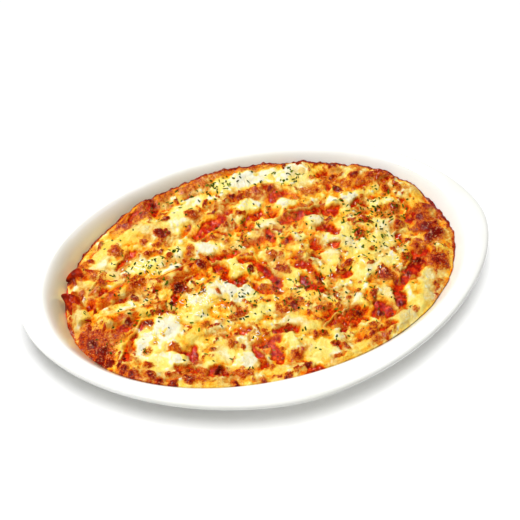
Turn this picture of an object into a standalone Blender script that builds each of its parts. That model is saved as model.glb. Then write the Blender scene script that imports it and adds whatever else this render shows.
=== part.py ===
"""Baked pasta in its oval gratin dish.

A glazed oval dish with a broad rim holds a bed of penne in meat sauce. A layer of melted,
browned cheese lies over the bed, and five penne stand out of it at the end where the food
has shrunk from the wall. X runs along the dish, Y across it and Z up, and the origin is in
the middle of the base, on the surface that the dish stands on. Lengths are in metres.
"""

import math
import random

import bmesh
import bpy
from mathutils import Matrix, Vector, noise

# The dish: the oval of its outer edge, the oval of its mouth and the oval of its floor.
RIM_LENGTH = 0.265
RIM_WIDTH = 0.1875
RIM_POWER = 1.78
MOUTH_LENGTH = 0.237
MOUTH_WIDTH = 0.1555
MOUTH_POWER = 2.05
FLOOR_LENGTH = 0.184
FLOOR_WIDTH = 0.112
DISH_HEIGHT = 0.040
FLOOR_THICKNESS = 0.0052
WALL_THICKNESS = 0.0055
LIP_THICKNESS = 0.0040

# The food: how high it stands, and how it falls away from the wall at one end.
FOOD_LEVEL = 0.0328
WALL_CLIMB = 0.0020
WALL_CLIMB_START = 0.78
WALL_CLIMB_REACH = 0.16
WEST_FALL = 0.0085
WEST_FALL_START = 0.084
WEST_FALL_REACH = 0.026
SWELL_HEIGHT = 0.0020
SWELL_SPAN = 0.034
LUMP_HEIGHT = 0.0026
LUMP_SPAN = 0.011
CHEESE_THICKNESS = 0.0042
CHEESE_EDGE_THICKNESS = 0.0022
CHEESE_SETBACK = 0.0009
WEST_SETBACK = 0.0075

# Penne: a tube cut slantwise at both ends.
PENNE_DIAMETER = 0.0092
PENNE_SLANT = 0.8
PENNE_SIDES = 14
BURIED_PENNE = 46
RIDGE_HEIGHT = 0.0018
RIDGE_HALF_WIDTH = 0.0072

GAP = 0.0003
SEGMENTS = 72
SEED = 7


def clear_scene() -> None:
    """Remove every object that the file starts with."""
    for item in list(bpy.data.objects):
        bpy.data.objects.remove(item, do_unlink=True)


def collection(name: str) -> bpy.types.Collection:
    """Make a collection under the scene's own."""
    group = bpy.data.collections.new(name)
    bpy.context.scene.collection.children.link(group)
    return group


def material(name: str, colour: tuple, roughness: float) -> bpy.types.Material:
    """Make a plain Principled material."""
    surface = bpy.data.materials.new(name)
    surface.use_nodes = True
    shader = surface.node_tree.nodes["Principled BSDF"]
    shader.inputs["Base Color"].default_value = (*colour, 1.0)
    shader.inputs["Roughness"].default_value = roughness
    shader.inputs["Metallic"].default_value = 0.0
    surface.diffuse_color = (*colour, 1.0)
    return surface


def smooth_step(value: float) -> float:
    """Rise smoothly from 0 to 1 as the value does."""
    share = min(1.0, max(0.0, value))
    return share * share * (3.0 - 2.0 * share)


def between(low: float, high: float, share: float) -> float:
    """The value a share of the way from low to high."""
    return low + (high - low) * share


# ---------------------------------------------------------------- sections of the dish

# The inner wall as (share of the run from mouth to floor, height): a rounded brow, one
# straight slope and a soft corner into the floor.
STRAIGHT_TOP = (0.10, DISH_HEIGHT - 0.0035)
STRAIGHT_FOOT = (0.72, FLOOR_THICKNESS + 0.0068)
INNER_SECTION = (
    (0.00, DISH_HEIGHT - 0.0013),
    STRAIGHT_TOP,
    STRAIGHT_FOOT,
    (0.80, FLOOR_THICKNESS + 0.0036),
    (0.90, FLOOR_THICKNESS + 0.0012),
    (1.00, FLOOR_THICKNESS),
)

# The rim as (share of the way from mouth to outer edge, height): a gentle dome, a round
# lip and a flat underside.
RIM_SECTION = (
    (0.10, DISH_HEIGHT - 0.0003),
    (0.45, DISH_HEIGHT),
    (0.82, DISH_HEIGHT - 0.0004),
    (0.96, DISH_HEIGHT - 0.0012),
    (1.00, DISH_HEIGHT - 0.0026),
    (0.96, DISH_HEIGHT - LIP_THICKNESS),
    (0.80, DISH_HEIGHT - LIP_THICKNESS - 0.0005),
    (0.30, DISH_HEIGHT - LIP_THICKNESS - 0.0014),
)

# The outer wall and base as (length of the oval less the floor's, height).
OUTER_TOP = 0.0320
OUTER_FOOT = 0.0100
BASE_SECTION = (
    (0.0100, 0.0040),
    (0.0030, 0.0012),
    (0.0010, 0.0000),
)


def oval(half_length: float, half_width: float, power: float, heights) -> list:
    """One ring of points round a superellipse.

    Args:
        half_length: Reach along X.
        half_width: Reach along Y.
        power: 2 is an ellipse, less is more pointed at its ends.
        heights: One height, or a list of one for each point.
    """
    points = []
    for step in range(SEGMENTS):
        angle = 2.0 * math.pi * step / SEGMENTS
        along = math.cos(angle)
        across = math.sin(angle)
        x = half_length * math.copysign(abs(along) ** (2.0 / power), along)
        y = half_width * math.copysign(abs(across) ** (2.0 / power), across)
        height = heights[step] if isinstance(heights, list) else heights
        points.append(Vector((x, y, height)))
    return points


def wall_oval(run: float) -> tuple:
    """Half length, half width and power of the inner wall, from mouth (0) to floor (1)."""
    half_length = between(MOUTH_LENGTH, FLOOR_LENGTH, run) / 2
    half_width = between(MOUTH_WIDTH, FLOOR_WIDTH, run) / 2
    return half_length, half_width, between(MOUTH_POWER, 2.0, run)


def straight_run(height: float) -> float:
    """The run of the inner wall at a height on its straight slope."""
    share = (STRAIGHT_TOP[1] - height) / (STRAIGHT_TOP[1] - STRAIGHT_FOOT[1])
    return between(STRAIGHT_TOP[0], STRAIGHT_FOOT[0], share)


def rim_oval(share: float) -> tuple:
    """Half length, half width and power of the rim, from mouth (0) to outer edge (1)."""
    half_length = between(MOUTH_LENGTH, RIM_LENGTH, share) / 2
    half_width = between(MOUTH_WIDTH, RIM_WIDTH, share) / 2
    return half_length, half_width, between(MOUTH_POWER, RIM_POWER, share)


def outer_wall_oval(height: float) -> tuple:
    """The outer wall, one wall's thickness outside the inner slope."""
    half_length, half_width, power = wall_oval(straight_run(height))
    return half_length + WALL_THICKNESS, half_width + WALL_THICKNESS, power


# ---------------------------------------------------------------- lofted solids


def loft(name: str, rings: list, first: Vector, last: Vector, look, group) -> bpy.types.Object:
    """Skin a stack of rings into one closed solid, with a point at either end."""
    mesh = bmesh.new()
    rows = [[mesh.verts.new(point) for point in ring] for ring in rings]
    start = mesh.verts.new(first)
    end = mesh.verts.new(last)
    for step in range(SEGMENTS):
        after = (step + 1) % SEGMENTS
        mesh.faces.new((start, rows[0][after], rows[0][step]))
        mesh.faces.new((end, rows[-1][step], rows[-1][after]))
        for near, far in zip(rows, rows[1:]):
            mesh.faces.new((near[step], near[after], far[after], far[step]))
    bmesh.ops.recalc_face_normals(mesh, faces=mesh.faces)
    # Two layers that face each other have to fold along the same diagonals.
    bmesh.ops.triangulate(mesh, faces=mesh.faces, quad_method="SHORT_EDGE")
    data = bpy.data.meshes.new(name)
    mesh.to_mesh(data)
    mesh.free()
    data.shade_smooth()
    data.materials.append(look)
    solid = bpy.data.objects.new(name, data)
    group.objects.link(solid)
    return solid


def make_dish(look, group) -> bpy.types.Object:
    """The dish, from the middle of its floor, over the rim and down to its flat base."""
    rings = [oval(*wall_oval(run), height) for run, height in reversed(INNER_SECTION)]
    rings += [oval(*rim_oval(share), height) for share, height in RIM_SECTION]
    rings += [oval(*outer_wall_oval(height), height) for height in (OUTER_TOP, OUTER_FOOT)]
    for wider, height in BASE_SECTION:
        half_length = (FLOOR_LENGTH + wider) / 2
        half_width = (FLOOR_WIDTH + wider) / 2
        rings.append(oval(half_length, half_width, 2.0, height))
    inside = Vector((0.0, 0.0, FLOOR_THICKNESS))
    return loft("gratin_dish", rings, inside, Vector((0.0, 0.0, 0.0)), look, group)


# ---------------------------------------------------------------- the food's surfaces


class Penne:
    """One tube of pasta, by its middle, its direction and its length."""

    def __init__(self, middle: tuple, turn: float, length: float, tilt: float = 0.0):
        """Place a tube.

        Args:
            middle: X, Y and Z of the middle of its axis.
            turn: Direction of its axis in degrees, seen from above, from X towards Y.
            length: Length of its axis.
            tilt: How far its leading end is raised, in degrees.
        """
        self.middle = Vector(middle)
        self.turn = math.radians(turn)
        self.tilt = math.radians(tilt)
        self.length = length
        self.along = Vector((math.cos(self.turn), math.sin(self.turn)))

    def ridge(self, x: float, y: float) -> float:
        """How far this tube lifts what lies over it, at a place."""
        offset = Vector((x, y)) - self.middle.xy
        down = abs(offset.dot(self.along)) / (self.length / 2)
        aside = abs(self.along.cross(offset)) / RIDGE_HALF_WIDTH
        return RIDGE_HEIGHT * smooth_step(1.0 - aside) * smooth_step(2.2 - 1.9 * down)


def scatter_penne() -> list:
    """The tubes under the cheese, spread over the dish in no order."""
    dice = random.Random(SEED)
    tubes = []
    while len(tubes) < BURIED_PENNE:
        x = dice.uniform(-0.105, 0.105)
        y = dice.uniform(-0.065, 0.065)
        turn = dice.uniform(0.0, 180.0)
        if (x / 0.105) ** 2 + (y / 0.065) ** 2 < 1.0:
            tubes.append(Penne((x, y, 0.0), turn, dice.uniform(0.028, 0.040)))
    return tubes


def food_height(x: float, y: float, tubes: list) -> float:
    """Height of the top of the food at a place."""
    out = math.hypot(2 * x / MOUTH_LENGTH, 2 * y / MOUTH_WIDTH)
    climb = WALL_CLIMB * smooth_step((out - WALL_CLIMB_START) / WALL_CLIMB_REACH)
    fall = WEST_FALL * smooth_step((-x - WEST_FALL_START) / WEST_FALL_REACH)
    swell = SWELL_HEIGHT * noise.noise(Vector((x, y, 0.0)) / SWELL_SPAN)
    lump = LUMP_HEIGHT * noise.noise(Vector((x, y, 0.5)) / LUMP_SPAN)
    ridge = max(tube.ridge(x, y) for tube in tubes)
    return FOOD_LEVEL + climb + swell + lump + ridge - fall


def cheese_thickness(share: float) -> float:
    """Thickness of the cheese, from the middle (0) to its own edge (1)."""
    return between(CHEESE_THICKNESS, CHEESE_EDGE_THICKNESS, smooth_step((share - 0.8) / 0.2))


def bed_edge(tubes: list) -> list:
    """The ring where the top of the bed meets the dish's wall, just clear of it."""
    heights = [FOOD_LEVEL - CHEESE_THICKNESS] * SEGMENTS
    for _ in range(4):
        ring = []
        for step, height in enumerate(heights):
            half_length, half_width, power = wall_oval(straight_run(height - GAP))
            ring.append(oval(half_length - GAP, half_width - GAP, power, height)[step])
        heights = [food_height(at.x, at.y, tubes) - CHEESE_EDGE_THICKNESS for at in ring]
    return [Vector((at.x, at.y, height)) for at, height in zip(ring, heights)]


def cheese_reach(edge: Vector) -> float:
    """How far out the cheese comes towards the wall, as a share of the bed's reach."""
    westward = smooth_step((-edge.x / edge.xy.length - 0.72) / 0.22)
    ragged = 0.5 + 0.5 * noise.noise(edge * 70.0)
    setback = between(CHEESE_SETBACK, WEST_SETBACK, westward) * between(0.7, 1.5, ragged)
    return 1.0 - setback / edge.xy.length


def surface_rings(edge: list, shares: list, height_at) -> list:
    """Rings at shares of the cheese's reach, from the outermost inwards."""
    rings = []
    for share in reversed(shares):
        ring = []
        for corner in edge:
            place = corner.xy * (cheese_reach(corner) * share)
            ring.append(Vector((place.x, place.y, height_at(place.x, place.y, share))))
        rings.append(ring)
    return rings


def make_food(sauce, cheese, group) -> tuple:
    """The bed of pasta in sauce, and the layer of cheese that lies on it."""
    tubes = scatter_penne()
    edge = bed_edge(tubes)
    shares = [0.10, 0.21, 0.32, 0.43, 0.54, 0.64, 0.74, 0.83, 0.92, 1.0]

    def bed_top(x: float, y: float, share: float) -> float:
        return food_height(x, y, tubes) - cheese_thickness(share)

    def cheese_under(x: float, y: float, share: float) -> float:
        return bed_top(x, y, share) + GAP

    def cheese_top(x: float, y: float, share: float) -> float:
        return food_height(x, y, tubes)

    rings = []
    for run, height in reversed(INNER_SECTION[2:]):
        half_length, half_width, power = wall_oval(run)
        rings.append(oval(half_length - GAP, half_width - GAP, power, height + GAP))
    rings.append(edge)
    rings += surface_rings(edge, shares, bed_top)
    under = Vector((0.0, 0.0, FLOOR_THICKNESS + GAP))
    over = Vector((0.0, 0.0, bed_top(0.0, 0.0, 0.0)))
    bed = loft("pasta_in_sauce", rings, under, over, sauce, group)

    rings = list(reversed(surface_rings(edge, shares, cheese_under)))
    rings += surface_rings(edge, shares, cheese_top)
    under = Vector((0.0, 0.0, cheese_under(0.0, 0.0, 0.0)))
    over = Vector((0.0, 0.0, cheese_top(0.0, 0.0, 0.0)))
    layer = loft("melted_cheese", rings, under, over, cheese, group)
    return bed, layer


# ---------------------------------------------------------------- the penne that show


def shown_penne() -> dict:
    """The tubes that show: two points at the end wall and three along their sides."""
    return {
        "penne_far_left": Penne((-0.0860, 0.0235, 0.0300), 158, 0.026, 6),
        "penne_left_end": Penne((-0.1008, 0.0055, 0.0292), 102, 0.018, 12),
        "penne_front_left": Penne((-0.0720, -0.0095, 0.0318), 2, 0.034),
        "penne_red": Penne((-0.0805, 0.0060, 0.0310), 15, 0.023, 4),
        "penne_middle": Penne((-0.0410, 0.0100, 0.0318), 13, 0.034),
    }


def tube_mesh(name: str, tube: Penne, grown: float) -> bpy.types.Mesh:
    """A tube filled with sauce, both its ends cut on one slant, along its own X."""
    radius = PENNE_DIAMETER / 2 + grown
    mesh = bmesh.new()
    bmesh.ops.create_cone(
        mesh,
        cap_ends=True,
        segments=PENNE_SIDES,
        radius1=radius,
        radius2=radius,
        depth=tube.length + 2 * grown,
        matrix=Matrix.Rotation(math.radians(90), 4, "Y"),
    )
    for corner in mesh.verts:
        corner.co.x += corner.co.y * PENNE_SLANT
    data = bpy.data.meshes.new(name)
    mesh.to_mesh(data)
    mesh.free()
    return data


def lay(name: str, tube: Penne, grown: float, group) -> bpy.types.Object:
    """Lay one tube at its place."""
    piece = bpy.data.objects.new(name, tube_mesh(name, tube, grown))
    piece.location = tube.middle
    piece.rotation_euler = (0.0, -tube.tilt, tube.turn)
    group.objects.link(piece)
    return piece


def make_shown_penne(look, group, cutters, layers: tuple) -> None:
    """Lay the penne that show, each in a channel of its own in the cheese and the bed."""
    for name, tube in shown_penne().items():
        piece = lay(name, tube, 0.0, group)
        piece.data.materials.append(look)
        cutter = lay("room_for_" + name, tube, GAP, cutters)
        cutter.display_type = "WIRE"
        cutter.hide_render = True
        for layer in layers:
            room = layer.modifiers.new(cutter.name, "BOOLEAN")
            room.operation = "DIFFERENCE"
            room.solver = "EXACT"
            room.object = cutter


def main() -> None:
    """Build the dish and all that is in it."""
    clear_scene()
    group = collection("baked_pasta")
    cutters = collection("cutters")
    glaze = material("white glaze", (0.86, 0.86, 0.84), 0.15)
    sauce = material("meat sauce", (0.45, 0.06, 0.01), 0.35)
    cheese = material("browned cheese", (0.86, 0.58, 0.20), 0.35)
    pasta = material("sauced pasta", (0.60, 0.14, 0.03), 0.40)
    make_dish(glaze, group)
    layers = make_food(sauce, cheese, group)
    make_shown_penne(pasta, group, cutters, layers)


main()
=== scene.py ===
"""Looks of a baked pasta in its oval gratin dish.

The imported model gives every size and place. The dish is white glazed stoneware. The food is a
bed of penne and mince in tomato sauce, under a layer of melted mozzarella that has browned in
blisters and let the sauce through in streaks, with parsley and grated cheese strewn on top.
Places on the food are millimetres from the middle of the dish, X along it and Y across it.
"""

import logging
import math
from collections.abc import Callable, Iterator
from dataclasses import dataclass, field
from enum import Enum

import bmesh
import bpy
import numpy as np
from mathutils import Euler, Matrix, Vector


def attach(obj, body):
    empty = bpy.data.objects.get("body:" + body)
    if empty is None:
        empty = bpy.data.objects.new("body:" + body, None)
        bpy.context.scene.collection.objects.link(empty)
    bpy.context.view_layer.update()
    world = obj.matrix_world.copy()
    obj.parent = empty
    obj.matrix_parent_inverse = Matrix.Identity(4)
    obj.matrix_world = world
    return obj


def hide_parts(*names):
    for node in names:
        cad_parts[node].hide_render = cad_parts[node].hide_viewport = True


MM = 0.001
LOG = logging.getLogger("baked_pasta")

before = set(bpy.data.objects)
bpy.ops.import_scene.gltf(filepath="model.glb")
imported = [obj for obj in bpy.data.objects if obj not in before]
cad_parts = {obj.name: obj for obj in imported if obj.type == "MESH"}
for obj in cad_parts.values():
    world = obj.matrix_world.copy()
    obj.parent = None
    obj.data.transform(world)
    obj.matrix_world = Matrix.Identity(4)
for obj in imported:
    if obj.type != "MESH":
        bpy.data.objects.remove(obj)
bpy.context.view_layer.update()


# ---------------------------------------------------------------- numbers and noise


def smooth(value: np.ndarray, low: float = 0.0, high: float = 1.0) -> np.ndarray:
    """Rise smoothly from 0 at low to 1 at high."""
    share = np.clip((value - low) / (high - low), 0.0, 1.0)
    return share * share * (3.0 - 2.0 * share)


def blend(start: np.ndarray, end: float, share: np.ndarray) -> np.ndarray:
    """Move from start towards end by a share."""
    return start + (end - start) * share


def waves(x: np.ndarray, y: np.ndarray, span: float, seed: int) -> np.ndarray:
    """Smooth random waves between about -1 and 1.

    Args:
        x: Places along the dish.
        y: Places across the dish.
        span: Length of one wave, in the places' own unit.
        seed: Which waves.

    Returns:
        The height of the waves at each place.
    """
    cells = 96
    dice = np.random.default_rng(seed)
    angle = dice.uniform(0.0, 2.0 * math.pi, (cells, cells))
    push = dice.uniform(0.0, cells, 2)
    across, up = x / span + push[0], y / span + push[1]
    column, row = np.floor(across).astype(int), np.floor(up).astype(int)
    right, rise = across - column, up - row

    def corner(east: int, north: int) -> np.ndarray:
        """The wave that one corner of each cell gives."""
        slope = angle[(column + east) % cells, (row + north) % cells]
        return np.cos(slope) * (right - east) + np.sin(slope) * (rise - north)

    fade_x = right**3 * (right * (right * 6 - 15) + 10)
    fade_y = rise**3 * (rise * (rise * 6 - 15) + 10)
    low = corner(0, 0) * (1 - fade_x) + corner(1, 0) * fade_x
    high = corner(0, 1) * (1 - fade_x) + corner(1, 1) * fade_x
    return 1.5 * (low * (1 - fade_y) + high * fade_y)


def rough(x: np.ndarray, y: np.ndarray, span: float, seed: int, octaves: int = 3) -> np.ndarray:
    """Waves with smaller waves on them."""
    total = np.zeros(np.shape(x))
    for step in range(octaves):
        total += 0.55**step * waves(x, y, span / 2**step, seed + 31 * step)
    return total


def in_oval(x: np.ndarray, y: np.ndarray, half_length: float, half_width: float) -> np.ndarray:
    """Whether each place lies inside a level oval round the middle of the dish."""
    return (x / half_length) ** 2 + (y / half_width) ** 2 < 1


# ---------------------------------------------------------------- the top of the food

# Pools of melted cheese: x, y, half length, half width, turn in degrees, and how thick and
# white the cheese is, from 0 (bare sauce) to 1.
POOLS = (
    (-66, -33, 12, 13, 60, 0.95), (-58, -22, 9, 7, 20, 0.96), (-70, -46, 7, 5, -30, 0.8),
    (-57, -46, 6, 5, 10, 0.95), (-76, -4, 6, 3, -10, 0.9), (-84, 29, 14, 4, 48, 0.85),
    (-76, 39, 12, 4, 32, 0.7), (-60, 46, 10, 4, 15, 0.68), (-47, 46, 9, 3, 8, 0.7),
    (-30, 50, 9, 7, 25, 0.9), (-22, 57, 8, 4, 20, 0.88), (-45, 14, 8, 3.5, 12, 0.97),
    (-40, 27, 5, 4, 0, 0.85), (-62, 22, 7, 5, 20, 0.85), (-54, 22, 6, 5, 0, 0.82),
    (-22, 25, 6, 4.5, -30, 0.97), (-27, 29, 4, 4, 0, 0.9), (-11, 6, 5, 7, 0, 0.82),
    (-14, -11, 11, 6, -20, 0.96), (-26, -6, 6, 5, -10, 0.93), (-35, -10, 9, 6, 5, 0.88),
    (-40, -20, 7, 5, 0, 0.85), (-3, -25, 8, 4, 0, 0.85), (-12, -30, 6, 4, 0, 0.85),
    (-23, -55, 7, 6, 15, 0.92), (-42, -55, 5, 6, 0, 0.85), (-33, -48, 6, 4, 0, 0.82),
    (-45, -33, 6, 5, 0, 0.75), (10, 65, 14, 5, -2, 0.97), (38, 61, 12, 7, -12, 0.95),
    (24, 64, 8, 5, 0, 0.95), (-3, 65, 6, 4, 0, 0.85), (42, 58, 6, 6, 0, 0.75),
    (8, 47, 7, 3.5, 10, 0.9), (13, 47, 3, 3, 0, 0.97), (14, 33, 6, 4, 0, 0.88),
    (29, 41, 7, 3, -20, 0.97), (41, 26, 5, 4, 0, 0.85), (46, 13.5, 3, 3, 0, 0.88),
    (30, 17, 3, 3, 0, 0.85), (65, 36, 6, 4, 0, 0.95), (54, 36, 4, 3, 0, 0.95),
    (77, 26.5, 4, 3, 0, 0.9), (84, 27.5, 3, 3, 0, 0.85), (54, 12, 6, 10, 0, 0.80),
    (60, -2, 9, 7, 0, 0.81), (72, 2, 8, 7, 0, 0.80), (56, -16, 9, 5, 10, 0.85),
    (72, -13, 7, 4, 0, 0.85), (76, 14, 5, 5, 0, 0.86), (42, 0, 5, 6, 0, 0.8),
    (38, -9, 4, 4, 0, 0.75), (17, -8, 5, 6, 0, 0.75), (12, 12, 5, 4, 0, 0.7),
    (47, -38, 3.5, 9, 0, 0.92), (47, -49, 6, 3.5, 10, 0.95), (30, -53, 4, 4, 0, 0.85),
    (17, -61, 9, 7, 20, 0.8), (24, -60, 6, 5, 20, 0.8), (37, -65, 8, 3, 18, 0.72),
    (10, -36, 5, 4, 0, 0.8), (17, -44, 6, 4, 0, 0.75), (87, -33, 4.5, 9, -25, 0.78),
    (80, -46, 8, 5, 40, 0.76), (69, -54, 10, 5, 33, 0.76), (64, -35, 3.5, 7, 10, 0.72),
    (73, -38, 3, 6, 10, 0.95), (102, 26, 3, 7, 10, 0.6), (95, 22, 3, 5, 20, 0.6),
    (-87, -26, 5, 3, 50, 0.72), (-45, -68, 10, 3, -10, 0.6), (28, -71, 18, 2.5, 12, 0.58),
    (-8, -68, 5, 3, 0, 0.65), (4, -50, 3, 7, 10, 0.85), (-86, 5, 4, 6, 50, 0.6),
)

# Browned stretches: x, y, half length, half width, turn in degrees, and how brown.
BROWNED = (
    (-52, -57, 9, 6, -20, 0.7), (10, -26, 7.5, 5.5, 0, 0.75), (-32, 25, 5, 3, 60, 0.6),
    (13, 55, 9, 4, -5, 0.62), (-20, 70, 22, 4, 8, 0.5), (-45, 62, 6, 6, 0, 0.72),
    (-60, 55, 10, 4, 35, 0.65), (-80, -52, 16, 3.5, -38, 0.62), (-99, -14, 8, 9, 0, 0.78),
    (-97, -27, 8, 10, -40, 0.98), (-88, -19, 7, 6, 0, 0.62), (102, 0, 5.5, 8, 0, 0.86),
    (99, -20, 6, 7, -20, 0.84),
    (88, 46, 6.5, 5, -45, 0.78), (100, 12, 5, 8, 0, 0.65), (70, 45, 9, 5, -20, 0.55),
    (80, 20, 7, 5, 0, 0.5), (-28, -63, 6, 4, -8, 0.6), (-85, 20, 5, 6, 0, 0.55),
    (-66, 11, 6, 6, 0, 0.5), (-50, 58, 6, 5, 30, 0.62), (50, -61, 6, 2.5, 20, 0.5),
    (-93, 33, 6, 3, 50, 0.62), (47, 47, 8, 3, 0, 0.5),
    (58, 52, 6, 5, 0, 0.5), (-23, 49, 5, 4, 0, 0.5), (-90, 10, 6, 5, 30, 0.45),
    (91, -7, 5, 5, 0, 0.6), (20, 72, 20, 2, -6, 0.5),
)

# Toasted blisters: x, y, radius, and how brown.
BLISTERS = (
    (-88.5, 27, 2.6, 0.7), (-86, 36, 2.2, 0.7), (-71, 37, 4, 0.6), (-84, 18, 3.5, 0.65),
    (-65, 13, 4.5, 0.6), (-67, -30.5, 2.4, 0.26), (-72, -35, 2.8, 0.42), (-61, -26, 1.4, 0.24),
    (-74, -44, 2.6, 0.6), (-58, -37, 3, 0.5), (-88, -42, 2.8, 0.7), (-84, -47, 3, 0.75),
    (-75, -51, 3, 0.75), (-72, -56, 3, 0.8), (-65, -59, 2.2, 0.8), (-65, -53, 1.7, 0.7),
    (-56, -59, 3, 0.75), (-33, -69.5, 2.5, 0.75), (-28, -65, 2.5, 0.6), (-18, -73, 2.5, 0.7),
    (-5, -73, 2.5, 0.7), (-23.5, 49, 3.5, 0.6), (-14.5, 54.5, 1.8, 0.7), (-54.5, 30, 2.4, 0.6),
    (-48, 34, 2, 0.55), (-48, 29, 1.8, 0.55), (-42.5, 25, 2.2, 0.55), (-17.5, 30, 2.2, 0.5),
    (-20, -17.5, 2.1, 0.6), (-11.5, -18, 1.8, 0.6), (-17.5, -24.5, 3, 0.65), (-23, -27, 2.2, 0.55),
    (-38, -27, 2.2, 0.5), (-9, -22, 2, 0.5), (-28, -43, 2.6, 0.5), (-38.5, -43, 2.2, 0.5),
    (-24.5, -8, 1.8, 0.5), (-33, -4.5, 2.2, 0.5), (5, 53.5, 2.2, 0.7), (11, 9, 3, 0.5),
    (25.5, -33.5, 2.1, 0.6), (30.5, -33, 2, 0.6), (37, -25, 1.6, 0.55), (49, -27, 1.5, 0.55),
    (37, -30.5, 1.6, 0.5), (42.5, -30.5, 1.5, 0.5), (22, -40.5, 2, 0.55), (22, -50, 2.5, 0.6),
    (17, -50, 2, 0.6), (5, -60, 3, 0.65), (31, -62, 2, 0.6), (38.5, -60, 1.8, 0.6),
    (49, -52, 2, 0.6), (48, -58, 1.9, 0.7), (57, -54, 1.8, 0.65), (42, -59, 1.6, 0.6),
    (49, -8, 3, 0.7), (15, -3, 3, 0.6),
    (62, 10, 2.8, 0.75), (68.5, 18, 2.8, 0.65), (85, 9, 3, 0.7), (93, 4.5, 2, 0.6),
    (80, 46.5, 3.4, 0.65), (86, 35, 2.6, 0.65), (92.5, 35.5, 2.5, 0.6), (86, 22, 3.2, 0.65),
    (65, -3, 1.6, 0.5), (60.5, -13, 1.6, 0.55), (76.5, -6.5, 1.7, 0.55), (81, -14, 3.6, 0.7),
    (67, -22, 4.6, 0.72), (90, -7.5, 2.6, 0.65), (75, -49, 1.9, 0.42), (56.5, -33, 2.6, 0.6),
    (-98, -7, 2.6, 0.6), (-102.5, -12, 2.4, 0.65), (98, -21, 5, 0.8),
    (104, 17.5, 3, 0.7), (60, 44, 2, 0.7), (71, 50, 2.2, 0.8), (26, 34, 2, 0.6),
)

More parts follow.
